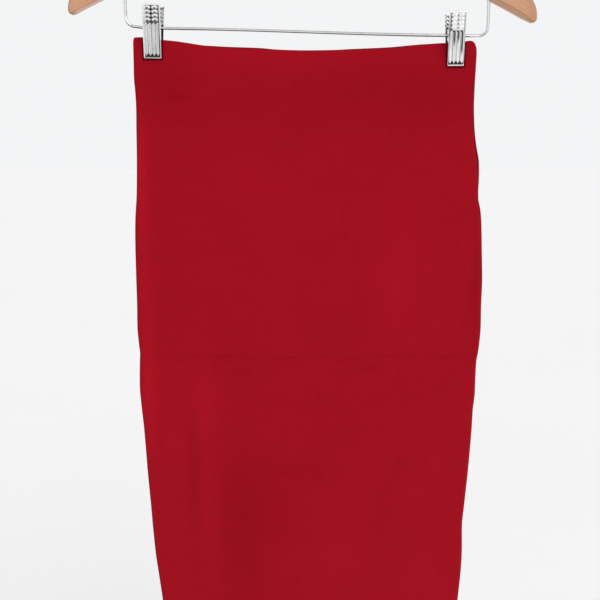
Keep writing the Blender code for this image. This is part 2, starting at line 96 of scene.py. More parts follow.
# The front's waist edge: X, and how far it hangs below the waist line
WAIST_EDGE = (
    (-165, -1.5), (-155, -1.5), (-140, 0.6), (-125, 2.1), (-112, 4.1), (-92, 7.2), (-70, 9.0),
    (-20, 10.7), (20, 10.6), (75, 9.3), (112, 5.2), (134, 3.6), (147, 3.6), (151.5, 1.9),
    (160, 1.5),
)

# The back's waist edge: X, and how much higher than the front's it lies
BACK_EDGE = (
    (-165, 0.0), (-102, 0.6), (-88, 1.5), (-60, 2.2), (-44, 2.2), (-30, 1.4), (0, 0.9), (28, 1.0),
    (42, 1.6), (70, 1.9), (92, 1.5), (106, 1.0), (120, 0.4), (160, 0.0),
)

# Soft troughs in the cloth. Each runs from one place to another and bows to its right by bow.
# Its right flank is spread times as wide as its left one. A negative depth makes a ridge.
Crease = namedtuple("Crease", "x1 drop1 x2 drop2 bow width spread depth")
CREASE_STARTS, CREASE_ENDS = (-0.12, 0.22), (0.72, 1.12)  # how each fades in and out on its way
CREASES = {
    FRONT: (
        (-112, 330, -107, 545, 2, 9, 1.2, -1.2), (-84, 408, -78, 640, -2, 8, 5.0, 2.0),
        (-122, 360, -121, 500, 1, 4, 1.6, 0.6), (52, 150, 66, 330, 6, 34, 1.6, -1.3),
        (97, 415, 70, 500, -9, 6, 1.6, 1.1), (-7, 363, 24, 353, 2, 3.6, 1.0, 0.9),
        (32, 330, 76, 320, 3, 3.2, 1.5, 0.95), (-77, 322, -53, 330, 1, 3.2, 1.0, 0.8),
        (-142, 57, -110, 55.5, 1, 2.8, 1.3, 0.95), (-136, 36, -100, 41, -1, 4.0, 1.0, 0.7),
        (-129, 75, -115, 78.5, 0, 3.0, 1.0, 0.4), (-125, 100, -115, 100, 0, 2.6, 1.0, 0.35),
        (-70, 427, 26, 435, 3, 6, 2.0, 0.9), (-76, 104, 24, 106, 2, 4, 1.4, 0.5),
        (-128, 559, -110, 561.5, 0, 3.0, 1.0, 0.45), (-142, 150, -138, 262, 2, 7, 1.0, 0.35),
        (-44, 276, -34, 290, 2, 4, 1.0, 0.6), (-84, 172, -70, 178, 2, 3, 1.0, 0.5),
        (28, 152, 34, 176, 3, 3, 1.0, 0.45), (44, 196, 52, 214, -2, 3, 1.0, 0.5),
        (44, 244, 58, 262, 2, 3.4, 1.0, 0.55), (92, 272, 96, 318, -3, 5, 1.3, 0.6),
        (108, 300, 130, 316, 1, 4, 1.0, 0.5), (100, 55, 150, 62, 2, 6, 1.6, 0.35),
        (132, 508, 150, 560, 2, 8, 1.0, 0.5), (30, 660, 60, 860, 6, 16, 1.6, 0.9),
        (-60, 700, -30, 900, -5, 20, 1.4, -0.8),
    ),
    BACK: (
        (96, 372, 84, 600, 3, 9, 3.0, 1.5), (-60, 180, -95, 330, -5, 22, 1.5, 0.9),
        (112, 64, 142, 61, 1, 3.4, 1.3, 0.6), (-120, 340, -112, 520, 2, 10, 1.3, -1.0),
        (20, 352, 62, 361, 3, 4, 1.0, 0.6), (-50, 330, -24, 322, 1, 3.6, 1.0, 0.5),
        (0, 440, 70, 448, 3, 7, 1.6, 0.6), (-20, 640, -48, 880, 6, 18, 1.4, 1.0),
        (66, 700, 84, 900, 4, 18, 1.4, -0.8),
    ),
}

# Level creases from packing, folded in three. The line wavers, and its strength comes and goes.
PackingFold = namedtuple("PackingFold", "drop waver width depth swell seed")
PACKING_FOLDS = {
    FRONT: (
        (309.0, 1.7, 1.4, 0.56, 0.6, 1.0), (313.0, 1.6, 1.1, 0.26, 0.0, 5.0),
        (618.0, 1.6, 1.5, 0.46, 0.5, 2.0),
    ),
    BACK: (
        (308.0, 1.5, 1.5, 0.50, 0.6, 3.0), (617.0, 1.7, 1.5, 0.46, 0.5, 4.0),
    ),
}
WAVER_LENGTHS = (34, 9)  # how long the waves of such a line are, the larger and the smaller ones
STRENGTH_LENGTH = 23  # and how long its strong and its weak stretches are
SWELL_WIDTH = 15.0  # the cloth bends this far above and below a packing crease
CREASE_SHADE = 1.5  # how much painted shade darkens the cloth in steep creases
EDGE_SHADE = 0.9  # how much painted shade darkens the cloth where it turns at its two sides
EDGE_TURN = (0.986, 0.994)  # which sets in here, as a share of half the width

# Faint unevenness of the hanging cloth, in three sizes
Ripple = namedtuple("Ripple", "across down height")
RIPPLES = (
    Ripple(62, 120, 0.75),
    Ripple(21, 38, 0.13),
    Ripple(7.5, 11, 0.022),
)

# The seam turnings that stand up inside, next to the front's two side edges
LEFT_TURNING = (5.0, 13.0, 0.75)  # from the edge to the slope, to its foot, and its height
RIGHT_TURNING = (1.2, 6.5, 0.6)

# Painted light and shade, where the cloth is painted a little lighter or darker: centre, reach and how
# much
Patch = namedtuple("Patch", "x drop reach_x reach_drop gain")
PATCHES = {
    FRONT: (
        (-150, 38, 42, 32, -0.75), (128, 48, 60, 32, -0.62), (20, 55, 130, 38, -0.52),
        (-20, 18, 70, 13, 0.55), (90, 235, 27, 62, 0.46), (-42, 132, 45, 34, 0.26),
        (-103, 350, 15, 40, 0.60), (-62, 490, 24, 66, -0.75), (-22, 470, 30, 60, -0.20),
        (42, 520, 34, 50, 0.15), (-114, 440, 5, 60, -0.50), (-161.5, 215, 9.5, 150, 0.75),
        (-161.5, 125, 5, 45, 1.3), (-160, 350, 8, 70, 0.8), (-138, 380, 18, 90, 0.26),
        (168, 225, 5, 75, -0.7), (126, 545, 24, 60, 0.18), (-40, 210, 60, 70, 0.16),
    ),
    BACK: (
        (140, 45, 46, 50, -0.6), (-120, 50, 60, 42, -0.5), (-80, 250, 40, 70, 0.45),
        (70, 480, 30, 70, -0.5),
    ),
}

# Columns and rows of the cloth's mesh
SIDE_COLUMNS = 9  # in the turn at each side
SIDE_SHARE = 0.03  # of half the width
FLAT_COLUMNS = 106
RowRun = namedtuple("RowRun", "start stop count")
ROW_RUNS = (
    RowRun(0.0, 10, 16),
    RowRun(10, 100, 38),
    RowRun(100, 299, 70),
    RowRun(299, 320, 24),
    RowRun(320, 608, 100),
    RowRun(608, 628, 18),
    RowRun(628, LENGTH, 72),
)
RIM_STEPS = 3

# The hanger's wood, in the hanger's own frame, before it tilts on its hook
TILT = math.radians(1.1)
BOARD = 12.0
# The right arm's end in X and Z, from its underside round to its upper side
ARM_END = (
    (205.2, -178.0), (211.2, -181.2), (215.5, -183.3), (218.5, -183.4), (220.5, -181.8),
    (221.2, -178.8), (220.9, -174.8), (219.8, -170.2), (217.4, -165.0), (213.5, -159.6),
    (208.1, -154.6), (201.4, -150.1), (193.7, -146.0),
)
LEFT_REACH = 0.9  # how much further out the left arm's end reaches
LEFT_FALL = 0.65  # and how much lower it lies
MIDDLE_Z = -116.0  # the underside's level in the middle
LOWER_BEND = 1.7  # the higher, the more of the slope lies far out
UPPER_BEND = 1.8
NECK_HEIGHT = 30.0
NECK_RISE = 5.0
NECK_REACH = 15.0
OUTLINE_STEPS = 60
END_STEPS = 48
# The board's edge in section: the share of the bevel's width left, and the depth behind the face
EDGE_SECTION = ((1.0, 0.0), (0.8, 0.55), (0.5, 1.35), (0.2, 2.2), (0.07, 2.8), (0.01, 3.6), (0.0, 4.6))
WOOD_SHARP = 24  # degrees between two faces, past which their edge looks sharp
BEVEL = 1.6  # how wide the bevel is
LEFT_BEVEL = 0.9  # and under the left arm, at the front
RIGHT_BEVEL = 3.9  # and under the right arm, at the front
ARRIS = 0.55  # how far a bevel's darker line reaches onto the face
LEFT_ARRIS = 2.2  # and on the left arm
RIGHT_SAG = 0.85  # how much lower the right arm's underside bellies near its end
SAG_STARTS, SAG_ENDS = (150, 184), (206, 215)  # where that sets in, and where it ends
BEVEL_STARTS, BEVEL_ENDS = (20, 70), (203, 219)  # where the bevels under the arms widen and end

# The edges' grey is a painted reflection, and their darkening is partly painted shade
# How the wood's edges look. A pair in brackets says from where to where in X a look changes.
LEFT_LOOK = (-150, -60)  # the left arm's own look ends
TIP = (212, 219)  # the look of the arms' ends sets in, on either side
DARK_END = (204, 212)  # the wood gets darker at the right arm's end
DARK_END_SHADE = 0.30
LINE_ENDS = (207, 213)  # the bevels' darker lines fade out at the right arm's end
ARRIS_NARROWS = (206, 216)  # they get narrower at the left arm's end, this far to the left
ARRIS_LEFT_OVER = 0.35  # and keep this share of their width
GREY_UNDER, GREY_ON_TOP = 0.14, 0.1  # how pale and grey the bevels are painted below and on top, as a painted reflection
GREY_LEFT = 0.42  # and how much more so below the left arm
LINE_UNDER, LINE_ON_TOP = 0.85, 0.3  # how dark the lines look below and on top
LINE_LEFT = 0.4  # and how much less so below the left arm
BEVEL_DARK = 0.22  # how dark the painted shade on the lower bevel is, except on the left arm
# Painted shade on the rim of an arm's end: how dark it is, how far behind the face that is reached, and
# the share of it on the line itself
Rim = namedtuple("Rim", "dark depth line")
LEFT_RIM, RIGHT_RIM = Rim(0.75, 0.5, 1.0), Rim(0.5, 1.2, 0.5)
UNDER_POINTS = 2 * OUTLINE_STEPS + END_STEPS // 3  # how many of the outline's points lie below

# The hook
HOOK_WIRE = 3.6
LOOP_RADIUS = 21.0
LOOP_START = math.radians(-50)
LOOP_END = math.radians(205)
STEM_TOP = -58.0
STEM_SEAT = 22.0

# The rail
RAIL_WIRE = 2.85
RAIL_HALF = 172.1
RAIL_LEFT_Z = -192.1
RAIL_RIGHT_Z = -199.7
RAIL_BOW = 0.6
RAIL_LIFT = 1.1  # how much higher its left end lies, outside the clip
RAIL_LIFTS = (151, 160)  # where it rises, to the left of the middle
RAIL_CORNER = 9.5
RAIL_SEAT = 10.0
RAIL_PALE = (152.0, 157.0)  # the wire's painted dark reflection fades from here
RAIL_DARK = (RAIL_HALF - 9.0, RAIL_HALF - 4.0)  # to its right corner
RAIL_MIDDLE = (60.0, 120.0)  # and a little between the clips, up to here on each side
FIT = 0.3

# The clips
CLIP_X = {"left": -146.7, "right": 141.7}
JAW_RISE = 20.8
JAW_FALL = 28.5
JAW_SPREAD = 14.3
JAW_SHUT = 3.6
JAW_SHEET = 0.8
JAW_CORNER = 0.8
JAW_ROW = 0.3  # how far apart the rows of a jaw's mesh lie
BACK_WIDER = 1.05  # the back jaw than the front one
FLANGE_TOP = 2.4
FLANGE_PIVOT = 3.6
FLANGE_BOTTOM = 1.5
EAR_RADIUS = 4.2
EAR_HALF_BASE = 7.0
EAR_SHEET = 0.8
EAR_BORE = 2.0
EAR_SHADE = 0.15
FRONT_EAR_X = 7.15
BACK_EAR_X = 5.9
RIB_OFFSETS = (-5.5, -1.83, 1.83, 5.5)
RIB_HALF = 1.56
RIB_HEIGHT = 0.8
RIB_TOP = 17.9
RIB_FOOT = 48.2
RIB_POINT = 2.7  # how long the ribs' pointed feet are
PAD_HALF = 6.9  # the thumb pad
PAD_TOP = 1.3
PAD_BOTTOM = 17.6
BUMP_SUNK = 0.5  # how much of a bump's height lies below the jaw's face
BUMP_OFFSETS = (-3.62, 3.62)
BUMP_ROWS = (3.6, 7.4, 11.1, 14.7)
BUMP_HALF = (3.3, 1.78)
BUMP_HEIGHT = 1.0
LIP_TOP = 49.1
LIP_HEIGHT = 0.5
SPOT_HALF = (1.45, 1.0)  # the painted dark middle of a bump
SPOT_FALL = 0.9  # and how far below the bump's middle it lies
DOT_HALF = (0.75, 0.85)  # a painted dark dot between the two columns of bumps
DOT_PLACE = (0.5, 0.6)  # to the right of the middle, and below a bump's own
DIMPLE_DEPTH, DIMPLE_HALF = 0.35, 0.45  # the dip in a bump's top, as shares of the bump
RIB_FIELD = 7.25  # the grooves lie within this of the middle
FLANK_X, FLANK_HALF = 7.1, 0.62  # the painted darker lines that run down beside the flanges
PAD_FLANK_X = 6.6  # and beside the pad, on the side without its line
SCALLOP_HALF = 1.3  # half the width of the pad's line, which the bumps cut into
OPEN_LEFT = 0.75  # how much lighter the painted shade in the pad's hollows is at its left edge
INNER_SHADE = 0.75  # painted shade on a front jaw's inner side
FLANGE_SHADES = (0.05, 0.2)  # and on its flanges, on the line's side and on the other
TOP_SHADE = 0.75  # and on a back jaw's top edge
STROKE_PITCH, STROKE_SLANT = 3.7, 0.7  # the slanted painted dark strokes on a back jaw
CREST_GAIN = 1.3  # how quickly the painted highlight grows towards the bumps' tops

# How each clip hangs, and how dark the painted shade and painted reflection in its plating are
JAW_LOOKS = {
    "left": SimpleNamespace(
        width=16.9,
        shift=0.25,  # along the rail, from the solid's place
        lean=1.0,  # of its top to the right, in degrees
        pad=1.0,  # between the bumps
        spots=1.0,  # in the bumps' middles
        dots=0.0,  # between the two columns of bumps
        line_x=7.0,  # where the line runs beside one flange
        line=0.95,  # in that line, in the pad
        side_line=((0.0, 50.0), (0.95, 0.95)),  # down that flange: below the top, and how dark
        flank=0.12,  # beside the other flange
        grooves=0.36,
        rib_line_x=0.0,  # where a line runs down each rib, from its middle
        rib_line=0.26,
        rib_line_ends=(60.0, 60.0, 60.0, 60.0),  # how far down it reaches on each rib
        lip=0.38,
        back=(0.0, 0.6),  # on the back jaw, at its lightest and darkest
        back_falls=0.0,  # and how much darker it gets on the way down
    ),
    "right": SimpleNamespace(
        width=15.7,
        shift=-0.3,
        lean=-0.6,
        pad=0.04,
        spots=0.0,
        dots=1.0,
        line_x=-5.6,
        line=1.0,
        side_line=((0.0, 8.0, 17.0, 21.0, 26.0, 50.0), (0.1, 0.4, 0.9, 0.9, 0.35, 0.35)),
        flank=0.4,
        grooves=0.35,
        rib_line_x=-0.5,
        rib_line=0.95,
        rib_line_ends=(0.0, 30.0, 27.0, 38.0),
        lip=0.12,
        back=(0.15, 0.9),
        back_falls=0.45,
    ),
}

# The springs
SPRING_WIRE = 1.0
SPRING_RADIUS = 2.6
SPRING_TURNS = 4
SPRING_HALF = 3.6
SPRING_TAIL_RISE = 14.0

# How the clips press the cloth
GRIP_FLAT = 9.5
GRIP_FADE = 30.0
GRIP_BELOW = 3.0
GRIP_FADE_BELOW = 55.0
GRIP_DEPTH = WALL + FIT
LIP_OUT = 1.003  # how far out the jaws' lips lie, as a share of their pivots' X
JAW_SHADOW_REACH = (0.8, 2.2)  # painted shadow on the cloth beside a jaw: full up to here, and gone from here on

# Hem stitching
STITCH_ROWS = (17.0, 22.0)  # above the hem
STITCH_LENGTH = 2.9
STITCH_GAP = 0.7
STITCH_FLATNESS = 0.55
STITCH_FREE = 5.0  # the rows start and end this far from the side seams
THREAD = 0.32

# The room
FLOOR_Z = -1300.0
FLOOR_REACH = 40000.0


# Shader expressions


class Signal:
    """A number that varies over a surface: a socket whose arithmetic adds Math nodes."""

    def __init__(self, finish, socket):
        self.finish = finish
        self.socket = socket

    def math(self, operation, *others, clamp=False):
        values = {i: o for i, o in enumerate((self, *others))}
        return self.finish.node("ShaderNodeMath", {"operation": operation, "use_clamp": clamp}, values)

    def __add__(self, other):
        return self.math("ADD", other)

    __radd__ = __add__

    def __mul__(self, other):
        return self.math("MULTIPLY", other)

    __rmul__ = __mul__

    def __sub__(self, other):
        return self.math("SUBTRACT", other)

    def __rsub__(self, other):
        return self * -1.0 + other

    def __truediv__(self, other):
        return self.math("DIVIDE", other)

    def __abs__(self):
        return self.math("ABSOLUTE")

    def clamped(self):
        return self.math("ADD", 0.0, clamp=True)

    def wrapped(self):
        return self.math("FRACT")

    def wave(self):
        """From -1 to 1, once for each 1 that the number grows."""
        return (self * (2 * math.pi)).math("SINE")

    def between(self, low, high):
        """0 below low, 1 above high, with a soft slope."""
        settings = {"interpolation_type": "SMOOTHSTEP"}
        return self.finish.node("ShaderNodeMapRange", settings, {"Value": self, 1: low, 2: high})


class Finish:
    """A material in the making."""

    def __init__(self, name, tree_owner=None):
        self.owner = tree_owner or bpy.data.materials.new(name)
        self.owner.use_nodes = True
        self.tree = self.owner.node_tree

    def node(self, kind, settings=None, values=None, out=0):
        """Adds a node: its settings first, then its sockets' values or links, and returns an output."""
        made = self.tree.nodes.new(kind)
        for name, value in (settings or {}).items():
            setattr(made, name, value)
        for name, value in (values or {}).items():
            self.feed(made.inputs[name], value)
        return Signal(self, made.outputs[out])

    def feed(self, socket, value):
        if isinstance(value, Signal):
            self.tree.links.new(value.socket, socket)
        elif socket.type == "RGBA":
            socket.default_value = (*value, 1.0)
        else:
            socket.default_value = value

    def parts(self, vector):
        split = self.node("ShaderNodeSeparateXYZ", None, {0: vector})
        return [Signal(self, part) for part in split.socket.node.outputs]

    def place(self):
        """The X, Y and Z of a point of the piece, in millimetres."""
        return [part * (1 / MM) for part in self.parts(self.node("ShaderNodeTexCoord", out="Object"))]

    def cloth_place(self):
        """How far round and how far down the cloth a point lies, in millimetres."""
        point = self.node("ShaderNodeUVMap", {"uv_map": "cloth"})
        return [part * (1 / MM) for part in self.parts(point)[:2]]

    def facing(self):
        """The X, Y and Z of the way the surface faces."""
        return self.parts(self.node("ShaderNodeNewGeometry", out="Normal"))

    def attribute(self, name):
        return self.node("ShaderNodeAttribute", {"attribute_name": name}, out="Fac")

    def vector(self, x, y, z):
        return self.node("ShaderNodeCombineXYZ", None, {0: x, 1: y, 2: z})

    def grain(self, x, y, z, detail=2.0, roughness=0.5):
        """Soft noise from 0 to 1, at places already divided by its size."""
        values = {"Vector": self.vector(x, y, z), "Scale": 1.0, "Detail": detail, "Roughness": roughness}
        return self.node("ShaderNodeTexNoise", None, values)

    def mix(self, share, low, high):
        values = {0: share, 6: low, 7: high}
        return self.node("ShaderNodeMix", {"data_type": "RGBA"}, values, out=2)

    def bump(self, height, distance, normal=None, strength=1.0):
        """A normal from a height between 0 and 1, which stands for a distance in millimetres."""
        values = {"Height": height, "Distance": distance * MM, "Strength": strength}
        if normal is not None:
            values["Normal"] = normal
        return self.node("ShaderNodeBump", None, values)

    def surface(self, **values):
        shader = self.tree.nodes["Principled BSDF"]
        for name, value in values.items():
            self.feed(shader.inputs[name.replace("_", " ")], value)
        return self.owner


# Finishes


JERSEY_DARK = (0.216, 0.0022, 0.0064)
JERSEY_LIGHT = (0.416, 0.0064, 0.0162)
# the darkest red is the painted shadow beside the clips' jaws
JERSEY_SHADOW = (0.050, 0.0008, 0.0030)
WOOD_LIGHT = (0.59, 0.310, 0.175)
WOOD_WARM = (0.55, 0.255, 0.110)
WOOD_ROSY = (0.53, 0.260, 0.165)
WOOD_DARK = (0.30, 0.135, 0.070)
WOOD_REFLECTION = (0.60, 0.455, 0.375)
WIRE_REFLECTION_DARK = (0.035, 0.035, 0.037)
JAW_SHADE_DARK = (0.035, 0.035, 0.038)
GRAIN_SLOPE = math.radians(29)


def jersey():
    """Fine single jersey in red: rows of small loops, faint streaks down the wales, a soft matt face."""
    finish = Finish("red_jersey")
    across, down = finish.cloth_place()
    wale, course = 0.62, 0.48
    in_wale = abs((across / wale).wrapped() - 0.5)
    loop = (down / course + in_wale * 1.1).wrapped()
    loop_height = (1.0 - abs(loop - 0.5) * 2.0) * 0.5 + (1.0 - in_wale * 2.0) * 0.5
    yarn = finish.grain(across / 0.45, down / 0.9, 0.0, detail=3.0, roughness=0.6)
    streak = finish.grain(across / 1.4, down / 60.0, 3.0, detail=2.0)
    cloud = finish.grain(across / 48.0, down / 60.0, 7.0, detail=3.0, roughness=0.55)
    fine_cloud = finish.grain(across / 9.0, down / 12.0, 11.0, detail=2.0)
    # painted light and shade from the panels, with faint random mottling of the yarn on top
    painted_light_and_tone = (
        finish.attribute("painted_light_and_tone") * 0.22
        + (cloud - 0.5) * 0.20
        + (fine_cloud - 0.5) * 0.16
        + (streak - 0.5) * 0.08
        + (yarn - 0.5) * 0.10
        + 0.5
    ).clamped()
    colour = finish.mix(painted_light_and_tone, JERSEY_DARK, JERSEY_LIGHT)
    # painted shadow beside and below the clips' jaws
    colour = finish.mix(jaw_shadow(finish) * 0.8, colour, JERSEY_SHADOW)
    roughness = 0.82 + (yarn - 0.5) * 0.12
    knit = finish.bump(loop_height, 0.10, strength=0.5)
    fuzz = finish.bump(yarn, 0.12, knit, strength=0.4)
    return finish.surface(
        Base_Color=colour,
        Roughness=roughness,
        Normal=fuzz,
        Sheen_Weight=0.05,
        Sheen_Roughness=0.45,
        Sheen_Tint=(1.0, 0.15, 0.20),
        Specular_IOR_Level=0.20,
        Specular_Tint=(1.0, 0.10, 0.16),
    )


def jaw_shadow(finish):
    """1 beside and below the clips' jaws, where a painted shadow darkens the cloth, and 0 further off."""
    x, _, z = finish.place()
    near = 0.0
    for clip, clip_x in CLIP_X.items():
        aside = abs(x - clip_x * LIP_OUT) - JAW_LOOKS[clip].width / 2
        below = rail_z(clip_x) - JAW_FALL - z
        away = aside.math("MAXIMUM", below)
        near = near + (1.0 - away.between(*JAW_SHADOW_REACH))
    return near.clamped()


def thread():
    finish = Finish("hem_thread")
    x, y, z = finish.place()
    ply = finish.grain(x / 0.5, y / 0.5, z / 0.2)
    colour = finish.mix(ply, (0.21, 0.0020, 0.0068), (0.36, 0.0046, 0.0140))
    return finish.surface(
        Base_Color=colour,
        Roughness=0.65,
        Normal=finish.bump(ply, 0.05),
        Specular_IOR_Level=0.20,
        Specular_Tint=(1.0, 0.10, 0.16),
    )


def lacquered_wood():
    """Pale warm wood under a thin lacquer, its grain running down both arms."""
    finish = Finish("pale_wood")
    x, y, z = finish.place()
    out = abs(x)
    along = out * math.cos(GRAIN_SLOPE) - z * math.sin(GRAIN_SLOPE)
    athwart = out * math.sin(GRAIN_SLOPE) + z * math.cos(GRAIN_SLOPE)
    bend = finish.grain(along / 60.0, y / 20.0, athwart / 26.0) * 9.0
    rings = finish.grain(along / 95.0, (y + bend) / 5.0, (athwart + bend) / 4.2, detail=4.0, roughness=0.6)
    pores = finish.grain(along / 9.0, y / 0.7, athwart / 0.55, detail=2.0)
    flecks = pores.between(0.60, 0.74)
    cloud = finish.grain(along / 34.0, y / 12.0, athwart / 15.0)
    colour = finish.mix(rings.between(0.32, 0.70), WOOD_LIGHT, WOOD_WARM)
    colour = finish.mix(cloud.between(0.35, 0.75) * 0.5, colour, WOOD_ROSY)
    colour = finish.mix(flecks * 0.45, colour, WOOD_DARK)
    colour = finish.mix(x.between(*DARK_END) * DARK_END_SHADE, colour, WOOD_DARK)
    # a painted reflection greys the bevels; the darker line and painted shade on the ends and lower bevels
    # follow
    colour = finish.mix(finish.attribute("bevel").clamped(), colour, WOOD_REFLECTION)
    colour = finish.mix(finish.attribute("arris").clamped(), colour, WOOD_DARK)
    relief = finish.bump(1.0 - flecks, 0.06, strength=0.5)
    return finish.surface(
        Base_Color=colour,
        Roughness=0.34 + rings * 0.14,
        Normal=relief,
        Coat_Weight=0.25,
        Coat_Roughness=0.18,
    )


def bright_chrome():
    """Polished plating with faint wear, and painted dark reflection and shade along the wires' edges."""
    finish = Finish("bright_chrome")
    x, y, z = finish.place()
    cloud = finish.grain(x / 9.0, y / 9.0, z / 9.0, detail=3.0)
    scratch = finish.grain(x / 0.25, y / 0.6, z / 7.0, detail=2.0).between(0.58, 0.75)
    colour = finish.mix(cloud, (0.74, 0.74, 0.75), (0.90, 0.90, 0.905))
    across, _, up = finish.facing()
    # painted dark reflection and painted shade where the wire faces down, up and to the sides
    shade = (-1.0 * up).between(0.05, 0.62) * 0.92 + up.between(0.55, 0.95) * 0.45
    shade = (shade + abs(across).between(0.62, 0.97) * 0.60).clamped()
    pale = x.between(*RAIL_PALE) * (1.0 - x.between(*RAIL_DARK))
    shade = shade * (1.0 - pale * 0.75)
    shade = shade * (0.78 + abs(x).between(*RAIL_MIDDLE) * 0.22)
    colour = finish.mix(shade, colour, WIRE_REFLECTION_DARK)
    return finish.surface(
        Base_Color=colour,
        Metallic=1.0,
        Roughness=0.10 + cloud * 0.08 + scratch * 0.10,
        Normal=finish.bump(scratch, 0.01, strength=0.3),
    )


def jaw_chrome():
    """The clips' plating, with painted shade in its hollows and a painted highlight on its bumps."""
    finish = Finish("jaw_chrome")
    x, y, z = finish.place()
    hollow_shade = finish.attribute("hollow_shade").clamped()
    crest_highlight = finish.attribute("crest_highlight").clamped()
    cloud = finish.grain(x / 1.3, y / 4.0, z / 26.0, detail=2.0)
    drawn = finish.grain(x / 0.35, y / 0.8, z / 9.0, detail=2.0)
    colour = finish.mix(cloud.between(0.3, 0.7), (0.69, 0.69, 0.695), (0.95, 0.95, 0.955))
    # painted highlight on the bumps' tops and the front jaws' top edges
    colour = finish.mix(crest_highlight, colour, (1.0, 1.0, 1.0))
    # painted shade and painted dark reflection, from the values set on the sheet
    colour = finish.mix(hollow_shade, colour, JAW_SHADE_DARK)
    return finish.surface(
        Base_Color=colour,
        Metallic=1.0,
        Roughness=0.16 + cloud * 0.08 + drawn * 0.12 + crest_highlight * 0.22,
        Normal=finish.bump(drawn, 0.02, strength=0.3),
    )


# Helpers for shapes


def smooth_between(value, low, high):
    """0 up to low, 1 from high on, and a soft slope between them. Works on arrays."""
    t = np.clip((value - low) / (high - low), 0.0, 1.0)
    return t * t * (3.0 - 2.0 * t)


def curve_weights(t):
    """How much a smooth curve takes of its start, its slope there, its end and its slope there."""
    return 2 * t**3 - 3 * t**2 + 1, t**3 - 2 * t**2 + t, 3 * t**2 - 2 * t**3, t**3 - t**2


def on_curve(rows, at):
    """The columns of a table, read on a smooth curve through its rows. Its first column is the place."""
    at = min(max(at, rows[0][0]), rows[-1][0])
    index = max(i for i in range(len(rows) - 1) if rows[i][0] <= at)
    before, low, high, after = (
        rows[min(max(index + step, 0), len(rows) - 1)] for step in (-1, 0, 1, 2)
    )
    span = high[0] - low[0]
    weights = curve_weights((at - low[0]) / span)
    values = []
    for column in range(1, len(low)):
        slope_low = (high[column] - before[column]) / (high[0] - before[0]) * span
        slope_high = (after[column] - low[column]) / (after[0] - low[0]) * span
        parts = low[column], slope_low, high[column], slope_high
        values.append(sum(weight * part for weight, part in zip(weights, parts, strict=True)))
    return values


def placed(name, data):
    """A new object in the scene."""
    made = bpy.data.objects.new(name, data)
    bpy.context.scene.collection.objects.link(made)
    return made


def piece(name, data, finish, slot, *nodes):
    """Puts a piece in the scene, on the hanger's body, in place of the plain solids it stands for."""
    data.name = name
    data.materials.clear()
    data.materials.append(finish)
    made = placed(name, data)
    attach(made, "root")
    if nodes:
        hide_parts(*nodes)
    return made


def moved_by(x, y, z):
    """A move in millimetres."""
    return Matrix.Translation(Vector((x, y, z)) * MM)


def doubled(bm, faces):
    """Extrudes faces where they lie, and returns the new vertices."""
    made = bmesh.ops.extrude_face_region(bm, geom=faces, use_keep_orig=True)["geom"]
    return {v for v in made if isinstance(v, bmesh.types.BMVert)}


def grid_place(v, rows, columns):
    """The row and the column of a vertex, while the grid that it is in is still flat."""
    return round((1 - v.co.y) / 2 * rows), round((v.co.x + 1) / 2 * columns)


def mesh_from(bm, sharp=None):
    mesh = bpy.data.meshes.new("shape")
    bm.to_mesh(mesh)
    bm.free()
    mesh.shade_smooth()
    if sharp is not None:
        mesh.set_sharp_from_angle(angle=math.radians(sharp))
    return mesh


# The skirt


def column_shares():
    """Where the cloth's columns stand, from -1 at the left to 1 at the right, closer in the turns."""
    inner = 1.0 - SIDE_SHARE
    flat = [inner * (2 * step / FLAT_COLUMNS - 1) for step in range(FLAT_COLUMNS + 1)]
    turn = []
    for step in range(1, SIDE_COLUMNS + 1):
        turn.append(inner + SIDE_SHARE * math.sin(math.pi / 2 * step / SIDE_COLUMNS))
    return [-share for share in reversed(turn)] + flat + turn


def cloth_rows():
    """The rows' drops, and how far each is tucked in towards the middle of the wall, at its two rims."""
    radius = 0.45 * WALL
    drops = []
    for run in ROW_RUNS:
        drops += [run.start + (run.stop - run.start) * step / run.count for step in range(run.count)]
    drops.append(LENGTH)
    rows = [(drop, 0.0) for drop in drops[1:-1]]
    for step in range(RIM_STEPS + 1):
        angle = math.pi / 2 * (1 - step / RIM_STEPS)
        depth, tuck = radius * (1 - math.sin(angle)), radius * (1 - math.cos(angle))
        rows += [(depth, tuck), (LENGTH - depth, tuck)]
    return sorted(rows)


def noise_field(x, drop, across, down, seed):
    """Soft noise from -1 to 1 over a grid of places."""
    flat = [
        noise.noise(Vector((a / across + seed * 7.3, b / down - seed * 3.1, seed)))
        for a, b in zip(x.ravel(), drop.ravel(), strict=True)
    ]
    return np.array(flat).reshape(x.shape)


def crease_relief(x, drop, side):
    """How far the creases push the cloth inwards, and how steep they are."""
    total, steep = np.zeros_like(x), np.zeros_like(x)
    for crease in map(Crease._make, CREASES[side]):
        run_x, run_drop = crease.x2 - crease.x1, crease.drop2 - crease.drop1
        length = math.hypot(run_x, run_drop)
        along = ((x - crease.x1) * run_x + (drop - crease.drop1) * run_drop) / length**2
        away = ((x - crease.x1) * run_drop - (drop - crease.drop1) * run_x) / length
        away -= crease.bow * 4 * along * (1 - along)
        reach = np.where(away > 0, crease.width * crease.spread, crease.width)
        fade = smooth_between(along, *CREASE_STARTS) * (1 - smooth_between(along, *CREASE_ENDS))
        dip = crease.depth * fade * np.exp(-((away / reach) ** 2))
        total += dip
        steep += dip / crease.width
    return total, steep


